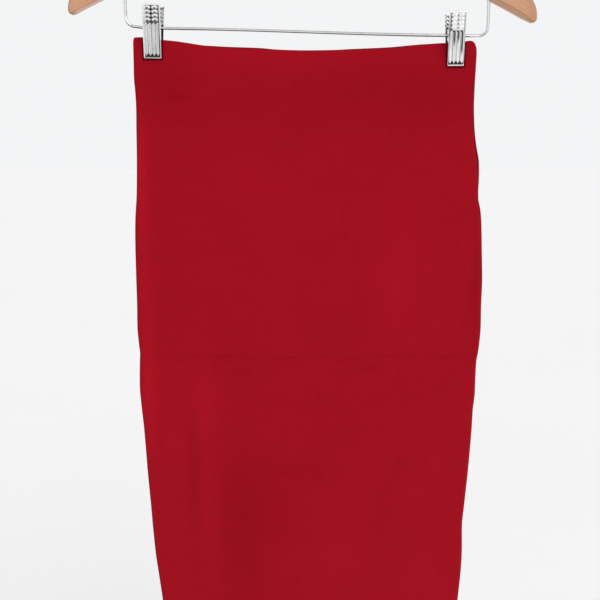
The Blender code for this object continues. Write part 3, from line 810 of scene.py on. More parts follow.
def packing_relief(x, drop, side):
    """The same for the packing creases: each is a fine line in a wide shallow bend."""
    total, steep, level = np.zeros_like(x), np.zeros_like(x), np.zeros_like(x)
    far, near = WAVER_LENGTHS
    for fold in map(PackingFold._make, PACKING_FOLDS[side]):
        line = fold.drop + fold.waver * noise_field(x, level, far, 1, fold.seed)
        line += 0.4 * fold.waver * noise_field(x, level, near, 1, fold.seed + 20)
        strength = 0.75 + 0.9 * noise_field(x, level, STRENGTH_LENGTH, 1, fold.seed + 40)
        away = drop - line
        dip = fold.depth * np.clip(strength, 0.1, 1.5) * np.exp(-((away / fold.width) ** 2))
        total += dip + fold.swell * np.exp(-np.abs(away) / SWELL_WIDTH)
        steep += dip / fold.width
    return total, steep


def grip(x, drop):
    """1 where the cloth is pressed flat by a clip, and 0 far from it."""
    pressed = np.zeros_like(x)
    for clip_x in CLIP_X.values():
        lip = WAIST_Z - (rail_z(clip_x) - JAW_FALL)
        across = 1 - smooth_between(np.abs(x - clip_x), GRIP_FLAT, GRIP_FLAT + GRIP_FADE)
        below = 1 - smooth_between(drop, lip + GRIP_BELOW, lip + GRIP_BELOW + GRIP_FADE_BELOW)
        pressed = np.maximum(pressed, across * below)
    return pressed


def along_edge(edge, x):
    """An edge's table, read on its smooth curve at a whole array of places."""
    return np.interp(x, EDGE_PLACES, [on_curve(edge, place)[0] for place in EDGE_PLACES])


def cloth_points(side, inner):
    """The X, Y, Z of a panel's outside or inside over its grid, and its drops."""
    shares = np.array(column_shares())
    rows = cloth_rows()
    outline = np.array([on_curve(OUTLINE, row) for row, _ in rows])
    depths = np.array([on_curve(DEPTHS, row) for row, _ in rows])
    row = np.array([drop for drop, _ in rows])[:, None]
    tuck = np.array([tuck for _, tuck in rows])[:, None]
    in_hem = smooth_between(row, LENGTH - HEM_TURN - 1.0, LENGTH - HEM_TURN + 0.5)
    wall = WALL + (HEM_WALL - WALL) * in_hem
    inset = wall - tuck if inner else tuck
    left, right, peek = (outline[:, i][:, None] for i in range(3))
    if side == BACK:
        right = right + peek
    half = (left + right) / 2 - np.minimum(inset, WALL)
    share = shares[None, :]
    x = (right - left) / 2 + half * share
    sag = along_edge(WAIST_EDGE, x)
    if side == BACK:
        sag = sag - along_edge(BACK_EDGE, x)
    drop = row + sag * np.maximum(0.0, 1 - row / SAG_REACH) ** 2
    middle, near_side = (depths[:, i][:, None] for i in range(2))
    depth = near_side + (middle - near_side) * (1 - share**2)
    relief = crease_relief(x, drop, side)[0] + packing_relief(x, drop, side)[0]
    for seed, ripple in enumerate(RIPPLES, start=10 * (side + 2)):
        relief += ripple.height * noise_field(x, drop, ripple.across, ripple.down, seed)
    depth = depth - relief * (1 - share**6)
    for edge, (near, far, height) in ((left + x, LEFT_TURNING), (right - x, RIGHT_TURNING)):
        depth = depth + height * (1 - smooth_between(edge, near, far))
    pressed = grip(x, row)
    depth = depth * (1 - pressed) + GRIP_DEPTH * pressed
    radius = np.maximum(EDGE_RADIUS - inset, EDGE_RADIUS / 3)
    bluntness = 2 * half * radius / (depth - inset) ** 2
    depth = (depth - inset) * np.sqrt(np.maximum(0.0, 1 - np.abs(share) ** bluntness))
    y = side * np.maximum(depth, SEAM_GAP / 2)
    return x, y, WAIST_Z - drop


def painted_light_at(x, drop, side):
    """How much lighter or darker than its mean the cloth is painted: painted light and shade, and painted
    shade in steep creases.
    """
    total = np.zeros_like(x)
    for patch in map(Patch._make, PATCHES[side]):
        away = ((x - patch.x) / patch.reach_x) ** 2 + ((drop - patch.drop) / patch.reach_drop) ** 2
        total += patch.gain * np.exp(-away)
    steep = crease_relief(x, drop, side)[1] + packing_relief(x, drop, side)[1]
    return total - CREASE_SHADE * steep


def cloth_panel(name, side, finish, node):
    """A panel from seam to seam and from waist to hem: a grid for its outside, extruded to its inside."""
    columns, rows = len(column_shares()) - 1, len(cloth_rows()) - 1
    outside, inside = cloth_points(side, False), cloth_points(side, True)
    # painted light and shade on the cloth, and painted shade where it turns at its two sides
    painted_light_and_tone = painted_light_at(outside[0], WAIST_Z - outside[2], side)
    painted_light_and_tone = painted_light_and_tone - EDGE_SHADE * smooth_between(np.abs(column_shares()), *EDGE_TURN)
    steps = np.hypot(np.diff(outside[0], axis=1), np.diff(outside[1], axis=1))
    round_cloth = np.concatenate([np.zeros((rows + 1, 1)), np.cumsum(steps, axis=1)], axis=1)
    round_cloth -= round_cloth[:, -1:] / 2
    bm = bmesh.new()
    painted_light_layer = bm.verts.layers.float.new("painted_light_and_tone")
    uv = bm.loops.layers.uv.new("cloth")
    bmesh.ops.create_grid(bm, x_segments=columns, y_segments=rows, size=1)
    inner = doubled(bm, bm.faces[:])
    places = {}
    for v in bm.verts:
        place = places[v] = grid_place(v, rows, columns)
        v.co = Vector([axis[place] for axis in (inside if v in inner else outside)]) * MM
        v[painted_light_layer] = painted_light_and_tone[place]
    for face in bm.faces:
        for loop in face.loops:
            row, column = places[loop.vert]
            drop = WAIST_Z - outside[2][row, column]
            loop[uv].uv = (round_cloth[row, column] * MM, -drop * MM)
    bmesh.ops.recalc_face_normals(bm, faces=bm.faces)
    made = piece(name, mesh_from(bm, sharp=60), finish, "red_jersey", node)
    sides = np.array([on_curve(OUTLINE, drop)[:2] for drop in range(0, round(LENGTH), 10)])
    return made


def hem_stitching(name, side, finish, cloth):
    """Two rows of short stitches across the hem, each stitch a small round bar lying on the cloth."""
    x, y, z = cloth_points(side, False)
    lie_along = Matrix.Rotation(math.pi / 2, 4, "Y")
    flatten = Matrix.Diagonal((1.0, STITCH_FLATNESS, 1.0, 1.0))
    lengthen = Matrix.Diagonal((THREAD * MM, THREAD * MM, STITCH_LENGTH / 2 * MM, 1.0))
    bm = bmesh.new()
    for above in STITCH_ROWS:
        level = WAIST_Z - LENGTH + above
        row = int(np.argmin(np.abs(z[:, 0] - level)))
        at = x[row, 0] + STITCH_FREE
        while at < x[row, -1] - STITCH_FREE:
            depth = float(np.interp(at, x[row], np.abs(y[row])))
            place = moved_by(at, side * (depth + THREAD * 0.15), level)
            bmesh.ops.create_uvsphere(
                bm,
                u_segments=6,
                v_segments=5,
                radius=1.0,
                matrix=place @ flatten @ lie_along @ lengthen,
            )
            at += STITCH_LENGTH + STITCH_GAP
    made = piece(name, mesh_from(bm), finish, "red_jersey")
    made.parent = cloth
    return made


# The wooden hanger


def tilted(point):
    """A place of the hanger's own frame, after it has tilted on its hook."""
    x, y, z = point
    return Vector((x * math.cos(TILT) + z * math.sin(TILT), y, -x * math.sin(TILT) + z * math.cos(TILT)))


def underside(x):
    reach, level = ARM_END[0]
    return level + (MIDDLE_Z - level) * (1 - min(1.0, abs(x) / reach) ** LOWER_BEND)


def upper_side(x):
    reach, level = ARM_END[-1]
    rise = MIDDLE_Z + NECK_HEIGHT - level
    neck = NECK_RISE * math.exp(-((x / NECK_REACH) ** 2))
    return level + rise * (1 - min(1.0, abs(x) / reach) ** UPPER_BEND) + neck


def hanger_outline():
    """The board's outline in X and Z, along its underside from left to right and back along its top."""
    lower_reach, upper_reach = ARM_END[0][0], ARM_END[-1][0]
    shares = [step / OUTLINE_STEPS for step in range(-OUTLINE_STEPS, OUTLINE_STEPS + 1)]
    rows = [(index, *point) for index, point in enumerate(ARM_END)]
    end = [on_curve(rows, (len(rows) - 1) * step / END_STEPS) for step in range(1, END_STEPS)]
    points = [(share * lower_reach, underside(share * lower_reach)) for share in shares]
    points += end
    points += [(-share * upper_reach, upper_side(share * upper_reach)) for share in shares]
    points += [(-x, z) for x, z in reversed(end)]
    points = np.array(points)
    x = points[:, 0]
    far = np.clip(-x / upper_reach, 0.0, None) ** 3
    belly = smooth_between(x, *SAG_STARTS) * (1 - smooth_between(x, *SAG_ENDS))
    belly = belly * (np.arange(len(points)) <= UNDER_POINTS)
    return points + np.stack([-LEFT_REACH * far, -LEFT_FALL * far - RIGHT_SAG * belly], axis=1)


def front_bevel(points):
    """How wide the front's bevel is along the outline. Below the arms it has a width of its own."""
    x = points[:, 0]
    under = np.arange(len(points)) <= UNDER_POINTS
    wide = np.where(x > 0, RIGHT_BEVEL, LEFT_BEVEL) - BEVEL
    fade = smooth_between(np.abs(x), *BEVEL_STARTS) * (1 - smooth_between(np.abs(x), *BEVEL_ENDS))
    return BEVEL + wide * fade * under


def bored(mesh, cutters):
    """The mesh with round holes along Z. A cutter is its X, its lowest and highest Z and its radius."""
    whole = placed("whole", mesh)
    made = [whole]
    for x, low, high, radius in cutters:
        bm = bmesh.new()
        bmesh.ops.create_cone(
            bm,
            cap_ends=True,
            segments=24,
            radius1=radius * MM,
            radius2=radius * MM,
            depth=(high - low) * MM,
            matrix=moved_by(x, 0, (low + high) / 2),
        )
        cutter = placed("cutter", mesh_from(bm))
        made.append(cutter)
        cut = whole.modifiers.new("bore", "BOOLEAN")
        cut.operation = "DIFFERENCE"
        cut.object = cutter
    seen = whole.evaluated_get(bpy.context.evaluated_depsgraph_get())
    result = bpy.data.meshes.new_from_object(seen)
    for old in made:
        bpy.data.objects.remove(old)
    return result


def edge_shades(x, under, depth, bevel, arris):
    """How grey (a painted reflection) and how dark (its line, and painted shade) the wood is on its edge,
    bevel or face.
    """
    left = 1 - smooth_between(x, *LEFT_LOOK)
    outer = smooth_between(abs(x), *TIP)
    grey = bevel * ((GREY_UNDER + GREY_LEFT * left) if under else GREY_ON_TOP) * (1 - outer)
    line = arris * ((LINE_UNDER - LINE_LEFT * left) if under else LINE_ON_TOP)
    rim = LEFT_RIM if x < 0 else RIGHT_RIM
    return grey, max(
        line * (1 - smooth_between(x, *LINE_ENDS)),
        outer * rim.dark * max(rim.line * arris, min(1.0, depth / rim.depth)),
        bevel * under * (1 - left) * BEVEL_DARK,
    )


def wooden_arms(finish):
    """An arched board with bevelled edges, bored for the hook and for the rail's two ends."""
    points = hanger_outline()
    along = np.roll(points, -1, axis=0) - np.roll(points, 1, axis=0)
    inward = np.stack([-along[:, 1], along[:, 0]], axis=1) / np.linalg.norm(along, axis=1)[:, None]
    front = front_bevel(points)
    back = np.full(len(points), BEVEL)
    on_face = ARRIS + (LEFT_ARRIS - ARRIS) * (1 - smooth_between(points[:, 0], *LEFT_LOOK))
    on_face = on_face * (1 - (1 - ARRIS_LEFT_OVER) * smooth_between(-points[:, 0], *ARRIS_NARROWS))
    rings = [(front + on_face, 0.0, 0.0, 0.0), (front, 0.0, 0.35, 1.0)]
    rings += [(front * share, depth, 1.0, 0.0) for share, depth in EDGE_SECTION[1:]]
    rings += [(back * share, BOARD - depth, 0.0, 0.0) for share, depth in reversed(EDGE_SECTION)]
    columns, rows = len(points), len(rings) - 1
    bm = bmesh.new()
    bevels = bm.verts.layers.float.new("bevel")
    arrises = bm.verts.layers.float.new("arris")
    bmesh.ops.create_grid(bm, x_segments=columns, y_segments=rows, size=1)
    for v in bm.verts:
        row, column = grid_place(v, rows, columns)
        inset, depth, bevel, arris = rings[row]
        at = column % columns
        x, z = points[at] + inward[at] * inset[at]
        v.co = tilted((x, depth - BOARD / 2, z)) * MM
        under = along[at][0] > 0.6 * np.linalg.norm(along[at])
        # painted reflection and painted shade along the edges
        v[bevels], v[arrises] = edge_shades(points[at][0], under, depth, bevel, arris)
    bmesh.ops.remove_doubles(bm, verts=bm.verts, dist=1e-7)
    bmesh.ops.holes_fill(bm, edges=[e for e in bm.edges if e.is_boundary], sides=0)
    bmesh.ops.recalc_face_normals(bm, faces=bm.faces)
    neck = tilted((0, 0, upper_side(0)))
    cutters = [(neck.x, neck.z - STEM_SEAT - 1, neck.z + 5, HOOK_WIRE / 2 + FIT)]
    for side in (-1, 1):
        top = rail_seat_z(side) + FIT
        cutters.append((side * RAIL_HALF, top - 2 * RAIL_SEAT, top, RAIL_WIRE / 2 + FIT))
    mesh = bored(mesh_from(bm), cutters)
    mesh.shade_smooth()
    mesh.set_sharp_from_angle(angle=math.radians(WOOD_SHARP))
    return piece("wooden_arms", mesh, finish, "pale_wood", "hanger_wood")


# Wires


def wire(name, points, diameter, finish, *nodes, sides=6):
    """A round wire through the points, which are in millimetres."""
    curve = bpy.data.curves.new(name, "CURVE")
    curve.dimensions = "3D"
    curve.bevel_depth = diameter / 2 * MM
    curve.bevel_resolution = sides
    curve.use_fill_caps = True
    spline = curve.splines.new("POLY")
    spline.points.add(len(points) - 1)
    for target, point in zip(spline.points, points, strict=True):
        target.co = (*(Vector(point) * MM), 1.0)
    spline.use_smooth = True
    return piece(name, curve, finish, "chromed_steel", *nodes)


def hook_points():
    """A stem that swings out to one side and round over the origin, with its tip turned a little out."""
    centre_z = HOOK_WIRE / 2 - LOOP_RADIUS
    start = Vector((math.cos(LOOP_START), 0, math.sin(LOOP_START))) * LOOP_RADIUS
    start.z += centre_z
    heading = Vector((-math.sin(LOOP_START), 0, math.cos(LOOP_START)))
    stem_top = Vector((0, 0, STEM_TOP))
    pull = (start - stem_top).length
    points = [Vector((0, 0, upper_side(0) - STEM_SEAT)), Vector((0, 0, (upper_side(0) + STEM_TOP) / 2))]
    stem_steps, loop_steps = 20, 70
    parts = stem_top, Vector((0, 0, pull)), start, heading * pull
    for step in range(stem_steps):
        weights = curve_weights(step / stem_steps)
        points.append(sum((p * w for p, w in zip(parts, weights, strict=True)), Vector((0, 0, 0))))
    for step in range(loop_steps + 1):
        angle = LOOP_START + (LOOP_END - LOOP_START) * step / loop_steps
        round_loop = Vector((math.cos(angle), 0, math.sin(angle))) * LOOP_RADIUS
        points.append(round_loop + Vector((0, 0, centre_z)))
    return [tilted(point) for point in points]


def rail_z(x):
    """The level of the rail's middle line, which slopes, and bows a little up and then down."""
    share = (x + RAIL_HALF) / (2 * RAIL_HALF)
    bend = RAIL_BOW * math.sin(2 * math.pi * share) + RAIL_LIFT * smooth_between(-x, *RAIL_LIFTS)
    return RAIL_LEFT_Z + (RAIL_RIGHT_Z - RAIL_LEFT_Z) * share + bend


def rail_seat_z(side):
    """How high the rail's end reaches into the wood, on the left (-1) or the right (1)."""
    own_x = side * RAIL_HALF - underside(RAIL_HALF) * math.sin(TILT)
    return tilted((own_x, 0, underside(own_x))).z + RAIL_SEAT


def rail_leg(side):
    """The rail's left end (-1) or right end (1), from the wood down and round its corner."""
    inner = RAIL_HALF - RAIL_CORNER
    level = rail_z(side * inner)
    leg = [Vector((side * RAIL_HALF, 0, rail_seat_z(side)))]
    corner_steps = 16
    for step in range(corner_steps + 1):
        angle = math.pi / 2 * step / corner_steps
        out = inner + RAIL_CORNER * math.cos(angle)
        leg.append(Vector((side * out, 0, level + RAIL_CORNER * (1 - math.sin(angle)))))
    return leg


def rail_points():
    """A wire that comes down out of one arm, runs level and goes up into the other."""
    run_steps = 40
    places = [(RAIL_HALF - RAIL_CORNER) * (2 * step / run_steps - 1) for step in range(1, run_steps)]
    return rail_leg(-1) + [Vector((x, 0, rail_z(x))) for x in places] + rail_leg(1)[::-1]


def spring_points(clip_x):
    """A coil round the rail, whose two ends press the tops of the jaws apart."""
    axis = Vector((clip_x, 0, rail_z(clip_x)))
    tail_y = jaw_face_y(SPRING_TAIL_RISE) - JAW_SHEET * 1.25 - FIT - SPRING_WIRE / 2
    points = [axis + Vector((-SPRING_HALF, -tail_y, SPRING_TAIL_RISE))]
    steps = 24 * SPRING_TURNS
    for step in range(steps + 1):
        share = step / steps
        angle = math.pi * 0.75 + (2 * SPRING_TURNS - 0.5) * math.pi * share
        ring = Vector((0, SPRING_RADIUS * math.cos(angle), SPRING_RADIUS * math.sin(angle)))
        points.append(axis + ring + Vector((SPRING_HALF * (2 * share - 1), 0, 0)))
    points.append(axis + Vector((SPRING_HALF, tail_y, SPRING_TAIL_RISE)))
    return points


# The clips' jaws, made with their face at Y = 0 and their top at Z = 0, and then leant onto the pivot


def jaw_face_y(rise):
    """How far a jaw's face lies from the middle, at a level above the pivot."""
    share = (JAW_RISE - rise) / (JAW_RISE + JAW_FALL)
    return JAW_SPREAD + (JAW_SHUT - JAW_SPREAD) * share


def jaw_lean():
    return math.atan2(JAW_SPREAD - JAW_SHUT, JAW_RISE + JAW_FALL)


def jaw_length():
    return math.hypot(JAW_SPREAD - JAW_SHUT, JAW_RISE + JAW_FALL)


def pivot_in_jaw():
    """The pivot's depth behind the face, and its distance below the top, in the jaw's own lie."""
    across, down = math.sin(jaw_lean()), math.cos(jaw_lean())
    return JAW_SPREAD * down - JAW_RISE * across, JAW_SPREAD * across + JAW_RISE * down


def pad_relief(x, down, look):
    """How far the thumb pad's bumps stand out of the jaw's face, and how dark the pad's painted shade is.
    """
    pad = smooth_between(PAD_HALF - np.abs(x), 0.0, 0.6)
    pad = pad * smooth_between(down, PAD_TOP, PAD_TOP + 0.7)
    pad = pad * (1 - smooth_between(down, PAD_BOTTOM - 0.5, PAD_BOTTOM + 0.3))
    height, spots, nearest = np.zeros_like(x), np.zeros_like(x), np.full_like(x, 9.0)
    for bump_x in BUMP_OFFSETS:
        for bump_row in BUMP_ROWS:
            away = np.hypot((x - bump_x) / BUMP_HALF[0], (down - bump_row) / BUMP_HALF[1])
            dome = np.sqrt(np.clip(1 - (away / 1.08) ** 2, 0.0, 1.0))
            dimple = DIMPLE_DEPTH * np.exp(-((away / DIMPLE_HALF) ** 2))
            spot = np.hypot((x - bump_x) / SPOT_HALF[0], (down - bump_row - SPOT_FALL) / SPOT_HALF[1])
            spots = np.maximum(spots, np.exp(-(spot**3)))
            height = np.maximum(height, BUMP_HEIGHT * (dome - dimple) - BUMP_SUNK * pad)
            nearest = np.minimum(nearest, away)
    at_left = 1 - smooth_between(x, BUMP_OFFSETS[0] - 2.4, BUMP_OFFSETS[0] - 0.6)
    between = pad * smooth_between(nearest, 0.84, 1.06) * (1 - OPEN_LEFT * at_left)
    hollow_shade = np.maximum(between * look.pad, look.spots * spots)
    way = math.copysign(1.0, look.line_x)
    outward = (x - look.line_x) * way
    scallop = smooth_between(SCALLOP_HALF - np.abs(outward), 0.0, 0.6) * look.line * pad
    solid = smooth_between(outward, 0.0, 0.4)
    hollow_shade = np.maximum(hollow_shade, scallop * np.maximum(solid, smooth_between(nearest, 0.72, 1.0)))
    beside_pad = smooth_between(1.0 - np.abs(-x * way - PAD_FLANK_X), 0.0, 0.4)
    hollow_shade = np.maximum(hollow_shade, look.flank * beside_pad * pad)
    dot_x, dot_fall = DOT_PLACE
    for bump_row in BUMP_ROWS:
        away = np.hypot((x - dot_x) / DOT_HALF[0], (down - bump_row - dot_fall) / DOT_HALF[1])
        hollow_shade = np.maximum(hollow_shade, look.dots * (1 - smooth_between(away, 0.6, 1.1)))
    return height, hollow_shade


def rib_relief(x, down, look):
    """The same for the ribs, which are arched at their heads and pointed at their feet."""
    in_ribs = smooth_between(down, RIB_TOP - 0.7, RIB_TOP + 0.1) * (down < LIP_TOP)
    arch = np.sqrt(1 - (1 - np.clip((down - RIB_TOP) / RIB_HALF, 0.0, 1.0)) ** 2)
    foot = np.clip((RIB_FOOT - down) / RIB_POINT, 0.0, 1.0)
    half = RIB_HALF * np.maximum(np.minimum(arch, foot), 0.01)
    away = np.min([np.abs(x - rib_x) for rib_x in RIB_OFFSETS], axis=0) / half
    height = RIB_HEIGHT * np.sqrt(np.clip(1 - away**4, 0.0, 1.0)) * in_ribs
    head = 1 - smooth_between(down, RIB_TOP + 0.6, RIB_TOP + 2.2)
    ends = np.maximum(head, smooth_between(foot, 1.0, 0.85))
    field = smooth_between(RIB_FIELD - np.abs(x), 0.0, 0.4)
    hollow_shade = in_ribs * field * smooth_between(away, 0.80, 1.05) * np.maximum(ends, look.grooves)
    for rib_x, end in zip(RIB_OFFSETS, look.rib_line_ends, strict=True):
        away = np.abs(x - rib_x - look.rib_line_x) / half
        drawn = look.rib_line * (1 - smooth_between(down, end - 4.0, end + 4.0))
        hollow_shade = np.maximum(hollow_shade, drawn * in_ribs * (1 - smooth_between(away, 0.3, 0.75)))
    return height, hollow_shade


def jaw_relief(x, down, look):
    """How far the pressed sheet stands out of the jaw's face, and how dark its painted shade is. Works on
    arrays.
    """
    pad_height, pad_hollow = pad_relief(x, down, look)
    rib_height, rib_hollow = rib_relief(x, down, look)
    height, hollow_shade = np.maximum(pad_height, rib_height), np.maximum(pad_hollow, rib_hollow)
    aside = smooth_between(FLANK_HALF - np.abs(np.abs(x) - FLANK_X), 0.0, 0.35)
    aside = aside * smooth_between(down, 1.0, 3.0)
    side_line = np.interp(down, *look.side_line)
    hollow_shade = np.maximum(hollow_shade, aside * np.where(x * look.line_x > 0, side_line, look.flank))
    lip = smooth_between(down, LIP_TOP - 0.2, LIP_TOP + 0.2)
    hollow_shade = np.maximum(hollow_shade * (1 - lip), look.lip * lip)
    return height * (1 - lip) + LIP_HEIGHT * lip, np.minimum(hollow_shade, 1.0)


def jaw_section(half_width, flange):
    """The sheet's line in plan, from one flange's edge round the face to the other's.

    Each point is its X, its Y behind the face and the direction that the sheet faces there.
    """
    points = []
    corner = JAW_CORNER
    flat_steps, corner_steps, flange_steps = 64, 6, 5
    for step in range(flange_steps):
        back = corner + (flange - corner) * (1 - step / flange_steps)
        points.append((-half_width, back, -1.0, 0.0))
    for step in range(corner_steps):
        angle = math.pi / 2 * step / corner_steps
        out = -math.cos(angle), -math.sin(angle)
        points.append((-half_width + corner + corner * out[0], corner + corner * out[1], *out))
    for step in range(flat_steps // 2 + 1):
        x = (corner - half_width) * (1 - 2 * step / flat_steps)
        points.append((x, 0.0, 0.0, -1.0))
    mirrored = [(-x, y, -face_x, face_y) for x, y, face_x, face_y in reversed(points[:-1])]
    return points + mirrored


def jaw_rows():
    """The jaw's rows from its turned top to its turned foot: drop, Y behind the face, and tilt."""
    rows = []
    corner, turns = JAW_CORNER, 5
    length = jaw_length()
    for step in range(turns + 1):
        angle = math.pi / 2 * (1 - step / turns)
        rows.append((corner * (1 - math.sin(angle)), corner * (1 - math.cos(angle)), angle))
    flat = int((length - 2 * corner) / JAW_ROW)
    for step in range(1, flat):
        rows.append((corner + (length - 2 * corner) * step / flat, 0.0, 0.0))
    for step in range(turns + 1):
        angle = math.pi / 2 * step / turns
        rows.append((length - corner * (1 - math.sin(angle)), corner * (1 - math.cos(angle)), -angle))
    return rows


def jaw_sheet(bm, hollow_shade_layer, crest_highlight_layer, look, side):
    """The pressed sheet with its face, its flanges and its turned ends."""
    rows = jaw_rows()
    along = pivot_in_jaw()[1]
    levels, flanges = (0, along, jaw_length()), (FLANGE_TOP, FLANGE_PIVOT, FLANGE_BOTTOM)
    sections = [jaw_section(look.width / 2, np.interp(down, levels, flanges)) for down, _, _ in rows]
    columns = len(sections[0]) - 1
    across = np.array([[point[0] for point in section] for section in sections])
    downs = np.array([[down] * (columns + 1) for down, _, _ in rows])
    heights, hollows = jaw_relief(across, downs, look)
    # painted shade on the inner side and the flanges; on a back jaw it is painted in slanted dark strokes
    if side == FRONT:
        inner_shades = np.full_like(hollows, INNER_SHADE)
        flange_shades = np.where(across * look.line_x > 0, *FLANGE_SHADES)
    else:
        light, dark = look.back
        slanted = np.abs(np.sin((downs + STROKE_SLANT * across) * math.pi / STROKE_PITCH)) ** 3
        lower = smooth_between(downs, 0.0, PAD_BOTTOM) * look.back_falls
        top_edge = TOP_SHADE * (1 - smooth_between(downs, 1.8, 2.8))
        mottled = np.clip(light + lower + (dark - light) * slanted, top_edge, 1.0)
        inner_shades = flange_shades = np.where(downs < PAD_BOTTOM, mottled, 1.0)
    bmesh.ops.create_grid(bm, x_segments=columns, y_segments=len(rows) - 1, size=1)
    inner = doubled(bm, bm.faces[:])
    for v in bm.verts:
        row, column = grid_place(v, len(rows) - 1, columns)
        down, turned_back, tilt = rows[row]
        x, back, face_x, face_y = sections[row][column]
        height = heights[row, column] * face_y**2 * math.cos(tilt)
        offset = height - (JAW_SHEET if v in inner else 0.0)
        facing = Vector((face_x, face_y * math.cos(tilt), math.sin(tilt) * abs(face_y)))
        v.co = (Vector((x, max(back, turned_back), -down)) + facing * offset) * MM
        if v in inner:
            v[hollow_shade_layer] = inner_shades[row, column]
        else:
            shade = hollows[row, column], flange_shades[row, column]
            v[hollow_shade_layer] = shade[0] * abs(face_y) + shade[1] * (1 - abs(face_y))
            # a painted highlight on the bumps and along a front jaw's top edge
            bright_top = side == FRONT and down < PAD_TOP
            crest_highlight = max(0.0, heights[row, column]) / BUMP_HEIGHT * CREST_GAIN + bright_top
            v[crest_highlight_layer] = min(1.0, crest_highlight) * (down < PAD_BOTTOM)


def jaw_ears(bm, ear_x, hollow_shade_layer):
    """Two ears that reach from the sheet round the rail, each a ring with two straps to the sheet."""
    depth, along = pivot_in_jaw()
    start = JAW_SHEET * 0.5
    for side in (-1, 1):
        x = side * ear_x - EAR_SHEET / 2
        upright = moved_by(x, depth, -along) @ Matrix.Rotation(math.pi / 2, 4, "Y")
        rim, bore = (
            bmesh.ops.create_circle(bm, segments=24, radius=radius * MM, matrix=upright)["verts"]
            for radius in (EAR_RADIUS, EAR_BORE)
        )
        edges = {edge for v in rim + bore for edge in v.link_edges}
        ring = bmesh.ops.bridge_loops(bm, edges=list(edges))["faces"]
        for v in rim:
            out_y, out_z = (v.co.y / MM - depth) / EAR_RADIUS, (v.co.z / MM + along) / EAR_RADIUS
            spread = math.copysign(EAR_HALF_BASE, out_z) * min(1.0, abs(out_z) * 1.6)
            foot = Vector((x, start, spread - along)) * MM
            v.co = v.co.lerp(foot, min(1.0, max(0.0, -out_y * 1.25)))
        moved = list(doubled(bm, ring))
        bmesh.ops.translate(bm, verts=moved, vec=(EAR_SHEET * MM, 0, 0))
        for v in rim + bore + moved:
            # painted shade on the ears
            v[hollow_shade_layer] = EAR_SHADE


def jaw_mesh(ear_x, side, look):
    """A whole jaw, leant so that its pivot is at the origin, on the front (-1) or the back (1)."""
    bm = bmesh.new()
    hollow_shade_layer = bm.verts.layers.float.new("hollow_shade")
    crest_highlight_layer = bm.verts.layers.float.new("crest_highlight")
    jaw_sheet(bm, hollow_shade_layer, crest_highlight_layer, look, side)
    jaw_ears(bm, ear_x, hollow_shade_layer)
    bmesh.ops.recalc_face_normals(bm, faces=bm.faces)
    mesh = mesh_from(bm, sharp=50)
    depth, along = pivot_in_jaw()
    mesh.transform(Matrix.Rotation(jaw_lean(), 4, "X") @ moved_by(0, -depth, along))
    if side == BACK:
        mesh.transform(Matrix.Rotation(math.pi, 4, "Z") @ Matrix.Diagonal((BACK_WIDER, 1, 1, 1)))
    return mesh


def clips(finish, wire_finish):
    """Both clips. A front jaw's ears lie outside those of the back jaw."""
    for clip, clip_x in CLIP_X.items():
        look = JAW_LOOKS[clip]
        pivot = moved_by(clip_x + look.shift, 0, rail_z(clip_x))
        for jaw, ear_x, side in (("front", FRONT_EAR_X, FRONT), ("back", BACK_EAR_X, BACK)):
            mesh = jaw_mesh(ear_x, side, look)
            mesh.transform(pivot @ Matrix.Rotation(math.radians(look.lean), 4, "Y"))
            piece(f"{clip}_{jaw}_jaw", mesh, finish, "chromed_steel", f"clip_{clip}_{jaw}_jaw")
        coil = spring_points(clip_x)
        wire(f"{clip}_spring", coil, SPRING_WIRE, wire_finish, f"clip_{clip}_spring", sides=3)


# The room, the lights and the camera


def room():
    """A wide pale floor."""
    finish = Finish("pale_floor")
    x, y, z = finish.place()
    cloud = finish.grain(x / 900.0, y / 900.0, z / 900.0)
    colour = finish.mix(cloud, (0.925, 0.925, 0.925), (0.955, 0.955, 0.955))
    pale = finish.surface(Base_Color=colour, Roughness=0.9, Specular_IOR_Level=0.0)
    bm = bmesh.new()
    bmesh.ops.create_circle(
        bm,
        cap_ends=True,
        segments=96,
        radius=FLOOR_REACH * MM,
        matrix=moved_by(0, 0, FLOOR_Z),
    )
    mesh = mesh_from(bm)
    mesh.materials.append(pale)
    placed("floor", mesh)


Sun = namedtuple("Sun", "name azimuth elevation spread strength colour")
SUNS = (
    Sun("key_light", 38, 34, 45, 1.25, (1.0, 0.985, 0.97)),
    Sun("back_light", 205, 40, 50, 0.80, (1.0, 0.995, 0.99)),
)


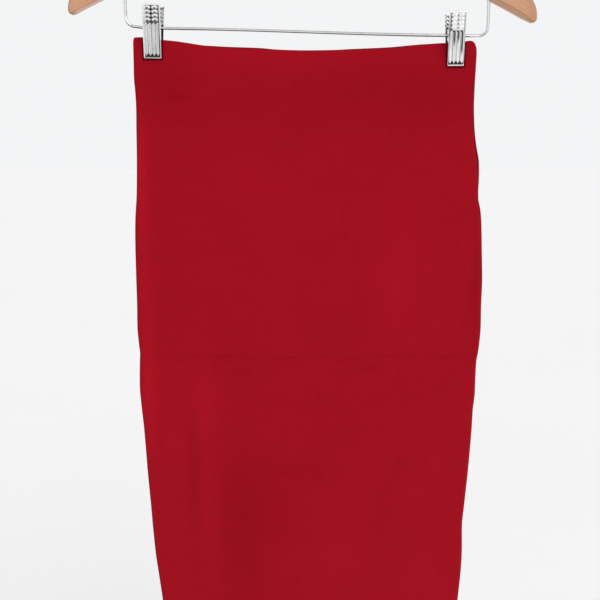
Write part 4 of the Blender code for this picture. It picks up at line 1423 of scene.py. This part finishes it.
def lights():
    """Very soft suns. Their azimuth goes from the front round by the right."""
    for sun in SUNS:
        data = bpy.data.lights.new(sun.name, "SUN")
        data.angle = math.radians(sun.spread)
        data.energy = sun.strength
        data.color = sun.colour
        made = placed(sun.name, data)
        turn, rise = math.radians(sun.azimuth), math.radians(sun.elevation)
        level = math.cos(rise)
        place = Vector((math.sin(turn) * level, -math.cos(turn) * level, math.sin(rise)))
        made.location = place * 3
        made.rotation_euler = place.to_track_quat("Z", "Y").to_euler()


def surroundings():
    """Pale air all round, darker high up, with a softly uneven ceiling for the metal to mirror."""
    world = bpy.data.worlds.new("studio")
    bpy.context.scene.world = world
    finish = Finish("studio", world)
    x, y, z = finish.parts(finish.node("ShaderNodeTexCoord", out="Generated"))
    high = z.between(0.16, 0.75)
    panels = ((x * 1.7 + y * 0.6 + 0.2).wave() * 0.5 + 0.5).between(0.3, 0.7)
    level = 1.0 - high * (0.30 + panels * 0.30)
    air = finish.mix(level, (0.0, 0.0, 0.0), (0.896, 0.905, 0.913))
    finish.feed(finish.tree.nodes["Background"].inputs["Color"], air)


def camera():
    data = bpy.data.cameras.new("camera")
    data.lens = LENS
    data.sensor_width = 36.0
    data.clip_start = 0.01
    data.clip_end = 30.0
    made = placed("camera", data)
    made.location = Vector(CAMERA_PLACE) * MM
    made.rotation_euler = (math.radians(90 - CAMERA_PITCH), 0, 0)
    bpy.context.scene.camera = made


def main():
    camera()
    lights()
    surroundings()
    room()
    chrome, jaw_finish = bright_chrome(), jaw_chrome()
    wooden_arms(lacquered_wood())
    wire("swivel_hook", hook_points(), HOOK_WIRE, chrome, "hanger_hook")
    wire("clip_rail", rail_points(), RAIL_WIRE, chrome, "hanger_rail")
    clips(jaw_finish, chrome)
    cloth, stitch = jersey(), thread()
    for name, side, node in (("front", FRONT, "skirt_front"), ("back", BACK, "skirt_back")):
        panel = cloth_panel(f"{name}_panel", side, cloth, node)
        hem_stitching(f"{name}_hem_stitches", side, stitch, panel)
    bpy.context.scene.view_settings.view_transform = "Standard"


main()
